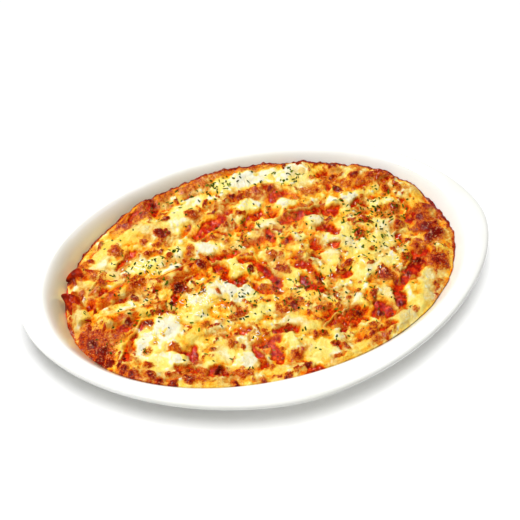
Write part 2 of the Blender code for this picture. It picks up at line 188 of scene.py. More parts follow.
# Streaks where the sauce has come through: width, cheese left over it, then points.
SAUCE_STREAKS = (
    (3.2, 0.06, (-96, 4), (-90, 8), (-84, 11)), (3.4, 0.10, (-90, 5), (-80, 5), (-75, 4)),
    (1.6, 0.12, (-79, 22), (-67, 30)), (2.4, 0.10, (-66, 32), (-62, 33)),
    (5.2, 0.05, (-24, 34), (-18, 38), (-10, 42)), (2, 0.08, (-22, 33), (-20, 30)),
    (1.6, 0.10, (-13, 34), (-8, 31.5)), (3.6, 0.08, (-20, 15), (-9, 17)),
    (5.0, 0.10, (-20, 8.5), (-18.5, 7)), (3, 0.08, (-19, 2), (-13, -5), (-9, -3)),
    (2.8, 0.10, (-6, 10), (-1, 10), (4, 5), (7, -3), (9, -11)), (2.5, 0.05, (0, 7), (5, -2), (8, -9)),
    (2, 0.15, (-5, 45), (-2, 45)), (2.6, 0.12, (3, 37), (8, 38), (14, 42)),
    (4.2, 0.12, (23, 49), (30, 49)), (5.4, 0.08, (26, 31), (33, 34), (41, 33)),
    (3.8, 0.10, (48, 32), (55, 30)), (2, 0.12, (64, 29), (68, 33), (71, 28)),
    (3, 0.10, (42, 20), (47, 19), (50, 15)), (2, 0.10, (36, 13), (38, 9), (34, 8)),
    (2, 0.12, (22, 3), (25, 3)), (2.2, 0.12, (33, 2), (36, 0)),
    (3.8, 0.05, (23, -13), (26, -18), (29, -21)), (3.2, 0.10, (41, -14), (47, -15)),
    (2.2, 0.12, (-60, -37), (-56, -38)), (2, 0.08, (-54, -40), (-49, -46), (-47, -38)),
    (2, 0.15, (-20, -36), (-16, -36)), (3.5, 0.15, (-15, -47), (-9, -47), (-3, -46)),
    (8, 0.14, (30, -41), (36, -44), (44, -43)), (2.4, 0.12, (53, 57), (57, 58)),
    (2, 0.15, (71, 42), (75, 42)), (3.4, 0.06, (92, 13), (96, 14)),
    (2.2, 0.10, (103, 17), (106, 18)), (1.8, 0.10, (83, 4), (83, -1)),
    (1.6, 0.10, (109, 14), (109, 8)), (2.4, 0.04, (53, -48), (56, -38)), (4, 0.06, (57, -40), (60, -46)),
    (3, 0.10, (54, -56), (60, -56)),
    (2, 0.15, (41, -58.5), (45, -58.5)), (2.2, 0.15, (-39, -54), (-36, -54)),
    (3, 0.12, (29, -8), (32, -12)), (3.6, 0.10, (24, -2), (28, -5)),
    (5.4, 0.02, (91, -11), (87, -18), (79, -25), (71, -30)),
    (3.8, 0.03, (70, -31), (69, -38), (68.5, -46)), (3.2, 0.04, (-77, -22), (-84, -36)),
    (4.2, 0.08, (-82, -15), (-74, -14)), (3.4, 0.10, (-71, -18), (-66, -16)),
    (2.6, 0.06, (-50, -7), (-44, 1.5), (-38, 6), (-30, 11)), (1.6, 0.08, (-27, 21), (-22, 16.5)),
    (2.4, 0.10, (23, 30.5), (25, 29)), (3, 0.10, (14, 26), (14, 21)),
    (3.2, 0.08, (21, 16.5), (24, 16.5)), (2, 0.10, (45, 7.5), (48, 7)),
    (3.2, 0.06, (2, -41), (9, -42)), (2, 0.06, (-3, -41), (1, -41)),
    (2.4, 0.10, (-17, -49), (-14, -53), (-14, -61)), (3.6, 0.10, (-6, -51), (-6, -60)),
    (4, 0.06, (-42, -57), (-36, -59)), (3, 0.12, (43, -40), (46, -46)),
    (2.2, 0.10, (36, -47), (33, -52)), (2.4, 0.08, (26, -58), (28, -61)),
    (1.6, 0.04, (6, -65), (8, -71)), (3, 0.08, (8, -73), (14, -73)),
    (4, 0.08, (54, -44), (60, -48)), (4.4, 0.10, (-44, 64), (-43, 58)),
    (2.4, 0.12, (-58, 55), (-53, 60)), (3, 0.10, (0, 56), (3, 54)),
    (3, 0.12, (22, 57), (25, 53)), (2.4, 0.10, (60, 54), (61, 53)),
    (2.2, 0.10, (60, 43), (61, 44)), (2.4, 0.12, (55, 48), (56, 45)),
    (2, 0.08, (-98, -19), (-93, -25)), (2.4, 0.10, (-101, 24), (-96, 27)),
    (3, 0.15, (-60, -50), (-50, -54)), (2.2, 0.15, (12, 41), (16, 38), (20, 36)),
    (3, 0.20, (-1, 34), (6, 32)), (3, 0.20, (0, 20), (10, 22)),
    (2.2, 0.15, (85, 40), (90, 42)), (2.2, 0.15, (92, 25), (94, 18)), (3, 0.20, (-5, -8), (2, -14)),
)

# Strings of cheese drawn out over the sauce: width, then points.
STRINGS = (
    (1.7, (-72, -10), (-71, -15), (-75, -20), (-81, -25), (-89, -31)),
    (1.3, (-96, -9), (-88, -4), (-78, -7), (-66, -8)), (1.2, (-99, 2), (-94, 12), (-87, 19), (-82, 25)),
    (1.2, (-101, -2), (-98, 8), (-93, 15)), (1.0, (-84, 3), (-90, 9), (-93, 11)),
    (1.2, (-75, 9), (-64, 14), (-54, 16)), (1.1, (-54, -2), (-44, 4.5), (-34, 8), (-28, 12)),
    (1.0, (-40, -58), (-37, -54), (-33, -56)), (1.0, (-15, -48), (-12, -54), (-11, -60)),
    (1.0, (-6, 12), (2, 9), (8, 1), (13, -6)), (1.2, (71, -19), (73.5, -24), (71.5, -30)),
    (1.1, (84, -10), (83, -16), (79, -21), (75, -20)),
    (1.4, (-14.5, 7.5), (-16, 11.5), (-19.5, 13), (-23.5, 11.5), (-25, 7.5), (-23.5, 3.5)),
    (1.0, (20, 33), (28, 36), (38, 35), (46, 36)), (1.0, (-26, 30), (-18, 34), (-10, 38)),
    (0.9, (50, 33), (58, 35), (68, 36)), (0.9, (24, -46), (32, -40), (40, -38)),
)

# Burnt spots: x, y and radius.
BURNT = (
    (-44, 1.5, 3.6), (-28.5, 13.5, 2.4), (-50, -7.5, 1.8), (-69.5, 1.5, 1.6), (-44.5, 40.5, 2.7),
    (-40.5, 41, 1.8), (-95, -25, 3.4), (-99, -18, 3.2), (-99.5, -30, 3), (-93.4, -34, 2.4),
    (-67, -17, 2.2), (-76, -14, 1.8), (-3.5, 2.5, 1.6), (31, -13.5, 1.4), (8, -8, 1.4),
    (14, 23.5, 1.4), (22.5, 16.5, 1.8), (5.5, -41.5, 2.2), (26, -59, 2), (7, -68, 1.6),
    (71, 50, 1.9), (60.5, 43.5, 1.6), (60, 54, 1.4), (99, 3, 3.6), (102, -2, 3.4),
    (98.5, -4.5, 2.6), (98, 11, 2), (70, -28.5, 1.6), (87, -17, 2.2), (78, -25, 2),
    (69, -43, 2), (54, 65, 1.8), (62, 61.5, 2), (44, 67, 1.7), (36, 68, 1.5),
    (-39.5, 50.5, 1.6), (-43, 62, 2.2), (-38, -58.5, 2.2), (45, -43, 1.8), (56, -46, 2),
    (-106, 12, 2.5), (-99, 25, 2.2), (23, 55, 1.6), (0.5, 56, 1.6), (-84, -34, 1.2),
    (-76, -24, 1.2), (68, -42, 1.4), (80, -25, 1.6), (12.5, -26.5, 1.8), (-89, -38, 1.4),
)


class Bake(Enum):
    """How far the oven has taken a piece of pasta."""

    SAUCY = "saucy"
    DARK = "dark"


@dataclass(frozen=True)
class PenneSpot:
    """Where a shown tube lies: node, middle in millimetres, turn, length, tilt and the film of
    cheese on its two ends, below 0 where it is bare."""

    node: str
    middle: tuple
    turn: float
    length: float
    tilt: float
    film: tuple
    bake: Bake
    radius: float = 4.5


SHOWN_PENNE = (
    PenneSpot("penne_far_left", (-86.0, 23.5, 30.0), 158, 26, 6, (1.6, -0.7), Bake.DARK),
    PenneSpot("penne_left_end", (-100.8, 5.5, 29.2), 102, 18, 12, (1.4, -1.1), Bake.DARK),
    PenneSpot("penne_front_left", (-72.0, -9.5, 31.8), 2, 34, 0, (0.5, 0.35), Bake.SAUCY),
    PenneSpot("penne_red", (-80.5, 6.0, 31.0), 15, 23, 4, (0.1, 0.35), Bake.SAUCY),
    PenneSpot("penne_middle", (-41.0, 10.0, 31.8), 13, 34, 0, (0.4, 0.0), Bake.DARK),
)


@dataclass
class Survey:
    """What the top of the food is like at a set of places."""

    cover: np.ndarray
    toast: np.ndarray
    burnt: np.ndarray
    sauce_top: np.ndarray
    cheese_top: np.ndarray


@dataclass
class TopDraft:
    """The food's top at a set of places, while one kind of feature after another is laid on it.

    All outlines are pushed askew by the drift, so that no patch or streak has a clean edge.
    """

    x: np.ndarray
    y: np.ndarray
    drift_waves: tuple = ((1.6, 6.5), (0.9, 2.6))
    drift_room: float = 4.0
    plain_cover: float = 0.57
    plain_toast: float = 0.78
    pool_edge: float = 0.6
    brown_edge: float = 0.8
    blister_rise: float = 0.36
    string_cover: float = 0.62
    string_rise: float = 1.0
    burnt_rise: float = 0.3

    def __post_init__(self) -> None:
        """Mottle the whole top before any feature is laid on."""
        x, y = self.x, self.y
        self.drift_x, self.drift_y = self.drift(11), self.drift(13)
        askew_x, askew_y = x + self.drift_x, y + self.drift_y
        self.detail = rough(x + 0.4 * self.drift_x, y + 0.4 * self.drift_y, 3.4, 25)
        self.fleck = rough(x, y, 2.2, 28, 2)
        self.cover = self.plain_cover + 0.32 * rough(askew_x, askew_y * 1.2, 8.0, 21) + 0.26 * self.detail
        stains = rough(askew_x, askew_y, 6.0, 31, 3) + 0.25 * self.fleck
        self.toast = self.plain_toast * smooth(stains, 0.10, 1.05)
        self.pool = np.zeros(np.shape(x))
        self.dome = np.zeros(np.shape(x))
        self.burnt = np.zeros(np.shape(x))

    def drift(self, seed: int) -> np.ndarray:
        """How far outlines are pushed askew one way, in millimetres."""
        return sum(depth * waves(self.x, self.y, span, seed + step)
                   for step, (depth, span) in enumerate(self.drift_waves))

    def near(self, px: float, py: float, reach: float) -> np.ndarray:
        """Which places lie within reach of a point, with room for the drift."""
        room = reach + self.drift_room
        return (abs(self.x - px) < room) & (abs(self.y - py) < room)

    def offset(self, spot: np.ndarray, px: float, py: float, askew: float = 1.0) -> tuple:
        """How far east and north of a point the places are, askew by a share of the drift."""
        east = self.x[spot] + askew * self.drift_x[spot] - px
        north = self.y[spot] + askew * self.drift_y[spot] - py
        return east, north

    def patch(self, row: tuple, reach: float, soft: float) -> tuple:
        """Find an oval patch.

        Args:
            row: Its row in a table of patches.
            reach: How far past its half length to look, as a factor.
            soft: Width of its soft edge, as a share of its size.

        Returns:
            The places that it may reach, and how fully it covers each.
        """
        px, py, long, wide, turn, _ = row
        spot = self.near(px, py, max(long, wide) * reach)
        angle = math.radians(turn)
        east, north = self.offset(spot, px, py)
        along = (east * math.cos(angle) + north * math.sin(angle)) / long
        aside = (north * math.cos(angle) - east * math.sin(angle)) / wide
        return spot, smooth(1.0 + soft / 2 - np.hypot(along, aside), 0.0, soft)

    def stretches(self, points: list, margin: float, askew: float) -> Iterator:
        """Follow a drawn line.

        Args:
            points: The line's points.
            margin: How far beside it to look.
            askew: The share of the drift that pushes it askew.

        Yields:
            For each stretch, the places near it and how far each is from it.
        """
        for (ax, ay), (bx, by) in zip(points, points[1:]):
            reach = math.hypot(bx - ax, by - ay)
            spot = self.near((ax + bx) / 2, (ay + by) / 2, reach / 2 + margin)
            east, north = self.offset(spot, ax, ay, askew)
            along = np.clip((east * (bx - ax) + north * (by - ay)) / reach**2, 0.0, 1.0)
            yield spot, np.hypot(east - along * (bx - ax), north - along * (by - ay))

    def lay_pools(self) -> None:
        """Lay the pools of thick cheese, which hardly brown."""
        for row in POOLS:
            spot, mask = self.patch(row, 1.3, self.pool_edge)
            level = row[5] + 0.09 * self.detail[spot]
            self.cover[spot] += (level - self.cover[spot]) * 0.92 * mask
            self.toast[spot] *= 1 - 0.88 * mask
            self.pool[spot] = np.maximum(self.pool[spot], mask)

    def brown(self) -> None:
        """Brown the stretches that lay nearest the grill."""
        for row in BROWNED:
            spot, mask = self.patch(row, 1.4, self.brown_edge)
            mottled = row[5] * (0.80 + 0.45 * self.detail[spot] + 0.25 * self.fleck[spot])
            self.toast[spot] += (mottled - self.toast[spot]) * mask * 0.9
            thinned = 0.40 - 0.2 * self.detail[spot] - self.cover[spot]
            self.cover[spot] += thinned * mask * 0.7

    def bare_sauce(self) -> None:
        """Open the streaks where the sauce has come through."""
        for width, left, *points in SAUCE_STREAKS:
            for spot, far in self.stretches(points, width * 1.8, 1.0):
                away = far / (width * 0.62)
                mask = smooth(1.75 + 0.35 * self.detail[spot] - away, 0.0, 1.0)
                bare = left + 0.07 * self.fleck[spot]
                self.cover[spot] += np.minimum(0.0, bare - self.cover[spot]) * mask
                self.toast[spot] *= 1 - 0.85 * smooth(1.4 - away, 0.0, 0.5)

    def blister(self, specks: list) -> None:
        """Raise and toast the placed blisters, and then the small ones, which pools keep pale."""
        for number, (px, py, radius, brown) in enumerate((*BLISTERS, *specks)):
            spot = self.near(px, py, radius)
            east, north = self.offset(spot, px, py, 0.7)
            stretch, turn = 1.0 + 0.35 * math.sin(px * 3.1), py * 2.3
            along = (east * math.cos(turn) + north * math.sin(turn)) / stretch
            aside = (north * math.cos(turn) - east * math.sin(turn)) * stretch
            away = np.hypot(along, aside) / radius
            crown = np.clip(1 - away**2, 0, 1) ** 0.7
            self.dome[spot] = np.maximum(self.dome[spot], self.blister_rise * radius * crown)
            ringed = smooth(1.75 + 0.25 * self.detail[spot] - away, 0.0, 1.6)
            shade = 1.15 * brown * ringed * (1.0 + 0.25 * self.fleck[spot])
            if number >= len(BLISTERS):
                shade *= 1 - 0.85 * self.pool[spot]
            self.toast[spot] = np.maximum(self.toast[spot], shade)
            self.cover[spot] = blend(self.cover[spot], 0.5, 0.5 * smooth(1.4 - away, 0.0, 0.6))

    def draw_strings(self) -> None:
        """Draw strings of cheese over the sauce."""
        for width, *points in STRINGS:
            for spot, far in self.stretches(points, width, 0.5):
                away = far / (width / 2)
                mask = smooth(1.5 - away, 0.0, 0.9) * (0.75 + 0.25 * self.detail[spot])
                self.cover[spot] += np.maximum(0.0, self.string_cover - self.cover[spot]) * mask
                self.toast[spot] *= 1 - 0.6 * mask
                self.dome[spot] = np.maximum(self.dome[spot], self.string_rise * mask)

    def burn(self) -> None:
        """Char the burnt spots."""
        for px, py, radius in BURNT:
            spot = self.near(px, py, radius)
            away = np.hypot(*self.offset(spot, px, py)) / radius
            dark = smooth(1.15 - away, 0.0, 0.6) * (0.85 + 0.25 * self.fleck[spot])
            self.burnt[spot] = np.maximum(self.burnt[spot], 0.85 * dark)
            self.toast[spot] = np.maximum(self.toast[spot], 0.8 * smooth(1.7 - away, 0.0, 0.9))
            knob = self.burnt_rise * radius * np.clip(1 - away**2 / 1.5, 0, 1) ** 0.7
            self.dome[spot] = np.maximum(self.dome[spot], knob)

    def sear(self, inset: np.ndarray) -> None:
        """Sear the food's edge against the hot wall, most at the back and the east.

        Args:
            inset: How far each place is from the food's edge.
        """
        x, y = self.x, self.y
        crust = 0.58 + 0.30 * waves(x, y, 14.0, 61) + 0.011 * y + 0.10 * smooth(x, 84.0, 104.0)
        width = 1.3 + 1.1 * waves(x, y, 8.0, 62)
        rim = smooth(width + 0.5 * self.detail - inset, -0.6, 0.9)
        self.toast = np.maximum(self.toast, np.clip(crust, 0.0, 0.92) * rim)


@dataclass
class BakedTop:
    """The relief and the browning of the food, in millimetres.

    Each fall of the ground has a direction in degrees, a start, a reach and a depth. Each stretch
    where the food has shrunk from the wall has a middle and a spread in degrees, and a depth.
    Swell and lump are the height and the span of waves in the ground.
    """

    dish: "GratinDish"
    level: float = 32.8
    lean: float = 0.9
    mouth: tuple = (118.5, 77.75)
    wall_climb: float = 2.0
    falls: tuple = (
        (186.0, 84.0, 26.0, 9.5), (142.0, 76.0, 26.0, 8.0), (-40.0, 80.0, 20.0, 3.6),
        (-2.0, 88.0, 26.0, 3.0), (-22.0, 86.0, 24.0, 3.2),
    )
    shrunk: tuple = ((128.0, 10.0, 2.6), (105.0, 18.0, 0.8))
    swell: tuple = (1.2, 34.0)
    lump: tuple = (0.7, 10.0)
    buried_penne: int = 46
    penne_half_width: float = 6.4
    penne_rise: float = 1.5
    small_blisters: int = 420
    blister_room: tuple = (110, 74)
    penne_room: tuple = (105, 65)
    tubes: list = field(default_factory=list)
    specks: list = field(default_factory=list)

    def __post_init__(self) -> None:
        """Draw the buried penne and the small blisters."""
        dice = np.random.default_rng(7)
        while len(self.tubes) < self.buried_penne:
            x, y = (dice.uniform(-room, room) for room in self.penne_room)
            turn, length = dice.uniform(0.0, math.pi), dice.uniform(28, 40)
            if in_oval(x, y, *self.penne_room):
                self.tubes.append((x, y, turn, length))
        for _ in range(self.small_blisters):
            place = [dice.uniform(-room, room) for room in self.blister_room]
            self.specks.append((*place, dice.uniform(0.6, 2.0), dice.uniform(0.18, 0.5)))

    def ground(self, x: np.ndarray, y: np.ndarray) -> np.ndarray:
        """Height of the food before cheese, sauce and blisters."""
        out = np.hypot(x / self.mouth[0], y / self.mouth[1])
        climb = self.wall_climb * smooth(out, 0.78, 0.94)
        fall = np.zeros(np.shape(x))
        for turn, start, reach, depth in self.falls:
            outward = x * math.cos(math.radians(turn)) + y * math.sin(math.radians(turn))
            fall = np.maximum(fall, depth * smooth((outward - start) / reach))
        ridge = np.zeros(np.shape(x))
        for px, py, turn, length in self.tubes:
            along = abs((x - px) * math.cos(turn) + (y - py) * math.sin(turn)) / (length / 2)
            aside = abs((y - py) * math.cos(turn) - (x - px) * math.sin(turn))
            crown = np.sqrt(np.clip(1.0 - (aside / self.penne_half_width) ** 2, 0.0, 1.0))
            ridge = np.maximum(ridge, self.penne_rise * crown * smooth(2.2 - 1.9 * along))
        swell = self.swell[0] * waves(x, y, self.swell[1], 3)
        lump = self.lump[0] * waves(x, y, self.lump[1], 4)
        return self.level - 1.0 + climb - fall + ridge + swell + lump

    def shrinkage(self, x: np.ndarray, y: np.ndarray) -> np.ndarray:
        """How far the food has drawn back from the wall, in the direction of a place."""
        turn = np.degrees(np.arctan2(y, x))
        total = np.zeros(np.shape(x))
        for middle, spread, depth in self.shrunk:
            away = (turn - middle + 180.0) % 360.0 - 180.0
            total += depth * np.exp(-((away / spread) ** 2))
        return total

    def inset(self, x: np.ndarray, y: np.ndarray, height: np.ndarray) -> np.ndarray:
        """How far it is to the food's edge, straight outward, at a height."""
        half_length, half_width = self.dish.half_axes(height)
        out = np.hypot(x / half_length, y / half_width)
        return (1.0 - out) * np.hypot(x, y) / np.maximum(out, 0.1) - self.shrinkage(x, y)

    def survey(self, x: np.ndarray, y: np.ndarray) -> Survey:
        """Work out the cheese, the browning and both tops at each place.

        Args:
            x: Places along the dish.
            y: Places across the dish.

        Returns:
            Everything that the pieces of food need to know there.
        """
        ground = self.ground(x, y)
        draft = TopDraft(x, y + self.lean)
        draft.lay_pools()
        draft.brown()
        draft.bare_sauce()
        draft.blister(self.specks)
        draft.draw_strings()
        draft.burn()
        draft.sear(self.inset(x, y, ground))
        parts = (draft.cover, draft.toast, draft.burnt)
        cover, toast, burnt = (np.clip(part, 0.0, 1.0) for part in parts)
        sauce_top, cheese_top, cover = self.relief(draft, ground, cover, toast)
        for tube in SHOWN_PENNE:
            cheese_top, cover = self.drape(tube, x, y, draft.detail, cheese_top, cover)
        return Survey(cover, toast, burnt, sauce_top, cheese_top)

    @staticmethod
    def relief(draft: TopDraft, ground: np.ndarray, cover: np.ndarray, toast: np.ndarray) -> tuple:
        """Raise the sauce and the cheese on the ground, and thin and darken the cheese in its hollows,
        partly as painted shade.

        Args:
            draft: The top with all its features.
            ground: Height of the food below them.
            cover: Cheese over the sauce.
            toast: How brown it is.

        Returns:
            Height of the sauce, height of the cheese, and the new cover.
        """
        x, y, pool = draft.x, draft.y, draft.pool
        grain = abs(rough(x, y, 2.6, 51, 2))
        crags = abs(draft.detail)
        knobs = waves(x, y, 1.5, 57)
        hollows = waves(x + draft.drift_x, y + draft.drift_y, 4.6, 58)
        sauce_top = ground - 0.4 + 0.9 * grain + 0.15 * waves(x, y, 0.9, 53)
        thick = 1.5 * smooth(cover, 0.05, 0.9)
        risen = 1.0 * smooth(toast, 0.08, 0.62)
        uneven = (0.50 * grain + 0.50 * crags) * (1 - 0.6 * pool) + 0.45 * hollows
        bulge = pool * (0.6 + 0.8 * waves(x, y, 7.5, 59))
        # Cheese is paler on the high grain and more orange in its lows: partly thinner cheese, partly
        # painted shade in the hollows.
        piled_and_shaded = 0.5 * grain + 0.45 * crags - 0.33
        cover = np.clip(cover + (0.30 - 0.2 * pool) * piled_and_shaded + 0.05 * knobs, 0.0, 1.0)
        cheese_top = ground + thick + draft.dome + risen + bulge + uneven + 0.16 * knobs
        dip = smooth(0.15 - cover, 0.0, 0.10)
        return sauce_top, cheese_top - dip * (cheese_top - sauce_top + 0.7), cover

    @staticmethod
    def drape(tube: PenneSpot, x: np.ndarray, y: np.ndarray, detail: np.ndarray,
              cheese_top: np.ndarray, cover: np.ndarray) -> tuple:
        """Bank the cheese up against a shown tube, with a broken film of it on top.

        Args:
            tube: The tube.
            x: Places along the dish.
            y: Places across the dish.
            detail: Small waves, which break the film.
            cheese_top: Height of the cheese so far.
            cover: Cheese over the sauce so far.

        Returns:
            The new height and cover.
        """
        turn = math.radians(tube.turn)
        east, north = x - tube.middle[0], y - tube.middle[1]
        along = east * math.cos(turn) + north * math.sin(turn)
        aside = abs(north * math.cos(turn) - east * math.sin(turn)) / tube.radius
        axis = tube.middle[2] + along * math.tan(math.radians(tube.tilt))
        ends = smooth(tube.length / 2 + 3.0 - abs(along), 0.0, 3.0)
        near = smooth(2.3 - aside, 0.0, 1.2) * ends
        bank = np.maximum(cheese_top, axis + 1.6 + 0.5 * detail)
        cheese_top = cheese_top + near * (bank - cheese_top)
        share = np.clip(along / tube.length + 0.5, 0.0, 1.0)
        film = tube.film[0] + (tube.film[1] - tube.film[0]) * share
        film = film + 0.75 * waves(x, y, 5.5, 83) + 0.35 * detail
        over = axis + tube.radius * np.sqrt(np.clip(1.0 - aside**2, 0.0, 1.0)) + 0.9 * film
        on = smooth(1.08 - aside, 0.0, 0.25) * smooth(tube.length / 2 + 1.0 - abs(along), 0.0, 1.0)
        cheese_top = cheese_top + on * (over - cheese_top)
        filmed = 0.20 + 0.50 * smooth(film, 0.0, 0.9)
        return cheese_top, cover + on * (filmed - cover)


# ---------------------------------------------------------------- materials


def linear(code: str) -> tuple:
    """An sRGB hex colour such as "#FDF6C7" as linear RGBA."""
    values = [int(code[place : place + 2], 16) / 255 for place in (1, 3, 5)]
    return (*[v / 12.92 if v <= 0.04045 else ((v + 0.055) / 1.055) ** 2.4 for v in values], 1.0)


def add_node(tree: bpy.types.NodeTree, kind: str, settings: dict | None = None,
             inputs: dict | None = None, stops: tuple = ()) -> bpy.types.Node:
    """Add a node with its settings, and fill or link its inputs.

    Args:
        tree: The node tree.
        kind: Node type without its ShaderNode prefix.
        settings: Properties of the node.
        inputs: Value or output socket for each input, by name or number.
        stops: Pairs of value and sRGB hex colour of a colour ramp, in rising order.

    Returns:
        The node.
    """
    node = tree.nodes.new("ShaderNode" + kind)
    for name, value in (settings or {}).items():
        setattr(node, name, value)
    for name, value in (inputs or {}).items():
        if isinstance(value, bpy.types.NodeSocket):
            tree.links.new(value, node.inputs[name])
        else:
            node.inputs[name].default_value = value
    for place, _ in stops[1:-1]:
        node.color_ramp.elements.new(place)
    for mark, (place, code) in zip(node.color_ramp.elements if stops else (), stops):
        mark.position = place
        mark.color = linear(code)
    return node


def grain_scale(size_mm: float) -> float:
    """Scale of a noise texture on Object coordinates whose grain has this size."""
    return 1.0 / (size_mm * MM)


@dataclass(frozen=True)
class Finish:
    """A finish: the start of a Principled material with its fixed values."""

    name: str
    roughness: float = 0.4
    values: tuple = ()

    def start(self) -> tuple:
        """Make the material.

        Returns:
            The material, its node tree, its shader node and its Object coordinates.
        """
        material = bpy.data.materials.new(self.name)
        material.use_nodes = True
        tree = material.node_tree
        shader = tree.nodes["Principled BSDF"]
        shader.inputs["Roughness"].default_value = self.roughness
        for name, value in self.values:
            shader.inputs[name].default_value = value
        place = add_node(tree, "TexCoord").outputs["Object"]
        return material, tree, shader, place


@dataclass(frozen=True)
class WhiteGlaze(Finish):
    """Stoneware under a poured white glaze: bright, hard and mirror-smooth, with a faint flow."""

    name: str = "glazed stoneware, poured white glaze"
    roughness: float = 0.12
    values: tuple = (("IOR", 1.5), ("Coat Weight", 0.3), ("Coat Roughness", 0.05))
    body: str = "#F8F8F4"
    thin: str = "#F0F0E8"
    # Tan of baked-on fat, which also serves as painted shade on the shaded inner wall.
    fat: str = "#E2D8A4"
    flow_mm: float = 38.0
    ripple_mm: float = 9.0

    def material(self) -> bpy.types.Material:
        """Make the glaze, with the film of baked-on fat above the food and a painted shade, tan, on the
        inner wall that lies in shade.
        """
        material, tree, shader, place = self.start()
        flow = add_node(tree, "TexNoise", inputs={
            "Vector": place, "Scale": grain_scale(self.flow_mm), "Detail": 2.0})
        colour = add_node(tree, "ValToRGB", inputs={"Fac": flow.outputs["Fac"]},
                          stops=((0.3, self.body), (0.7, self.thin)))
        # The tan mark is partly baked-on fat and partly painted shade on the shaded west wall.
        fat = add_node(tree, "Attribute", {"attribute_name": "fat"})
        stained_and_shaded = add_node(tree, "Mix", {"data_type": "RGBA", "blend_type": "MULTIPLY"}, {
            0: fat.outputs["Fac"], 6: colour.outputs["Color"], 7: linear(self.fat)})
        tree.links.new(stained_and_shaded.outputs[2], shader.inputs["Base Color"])
        ripple = add_node(tree, "TexNoise", inputs={
            "Vector": place, "Scale": grain_scale(self.ripple_mm), "Detail": 1.0})
        bump = add_node(tree, "Bump", inputs={
            "Height": ripple.outputs["Fac"], "Strength": 0.06, "Distance": 0.4 * MM})
        tree.links.new(bump.outputs["Normal"], shader.inputs["Normal"])
        return material


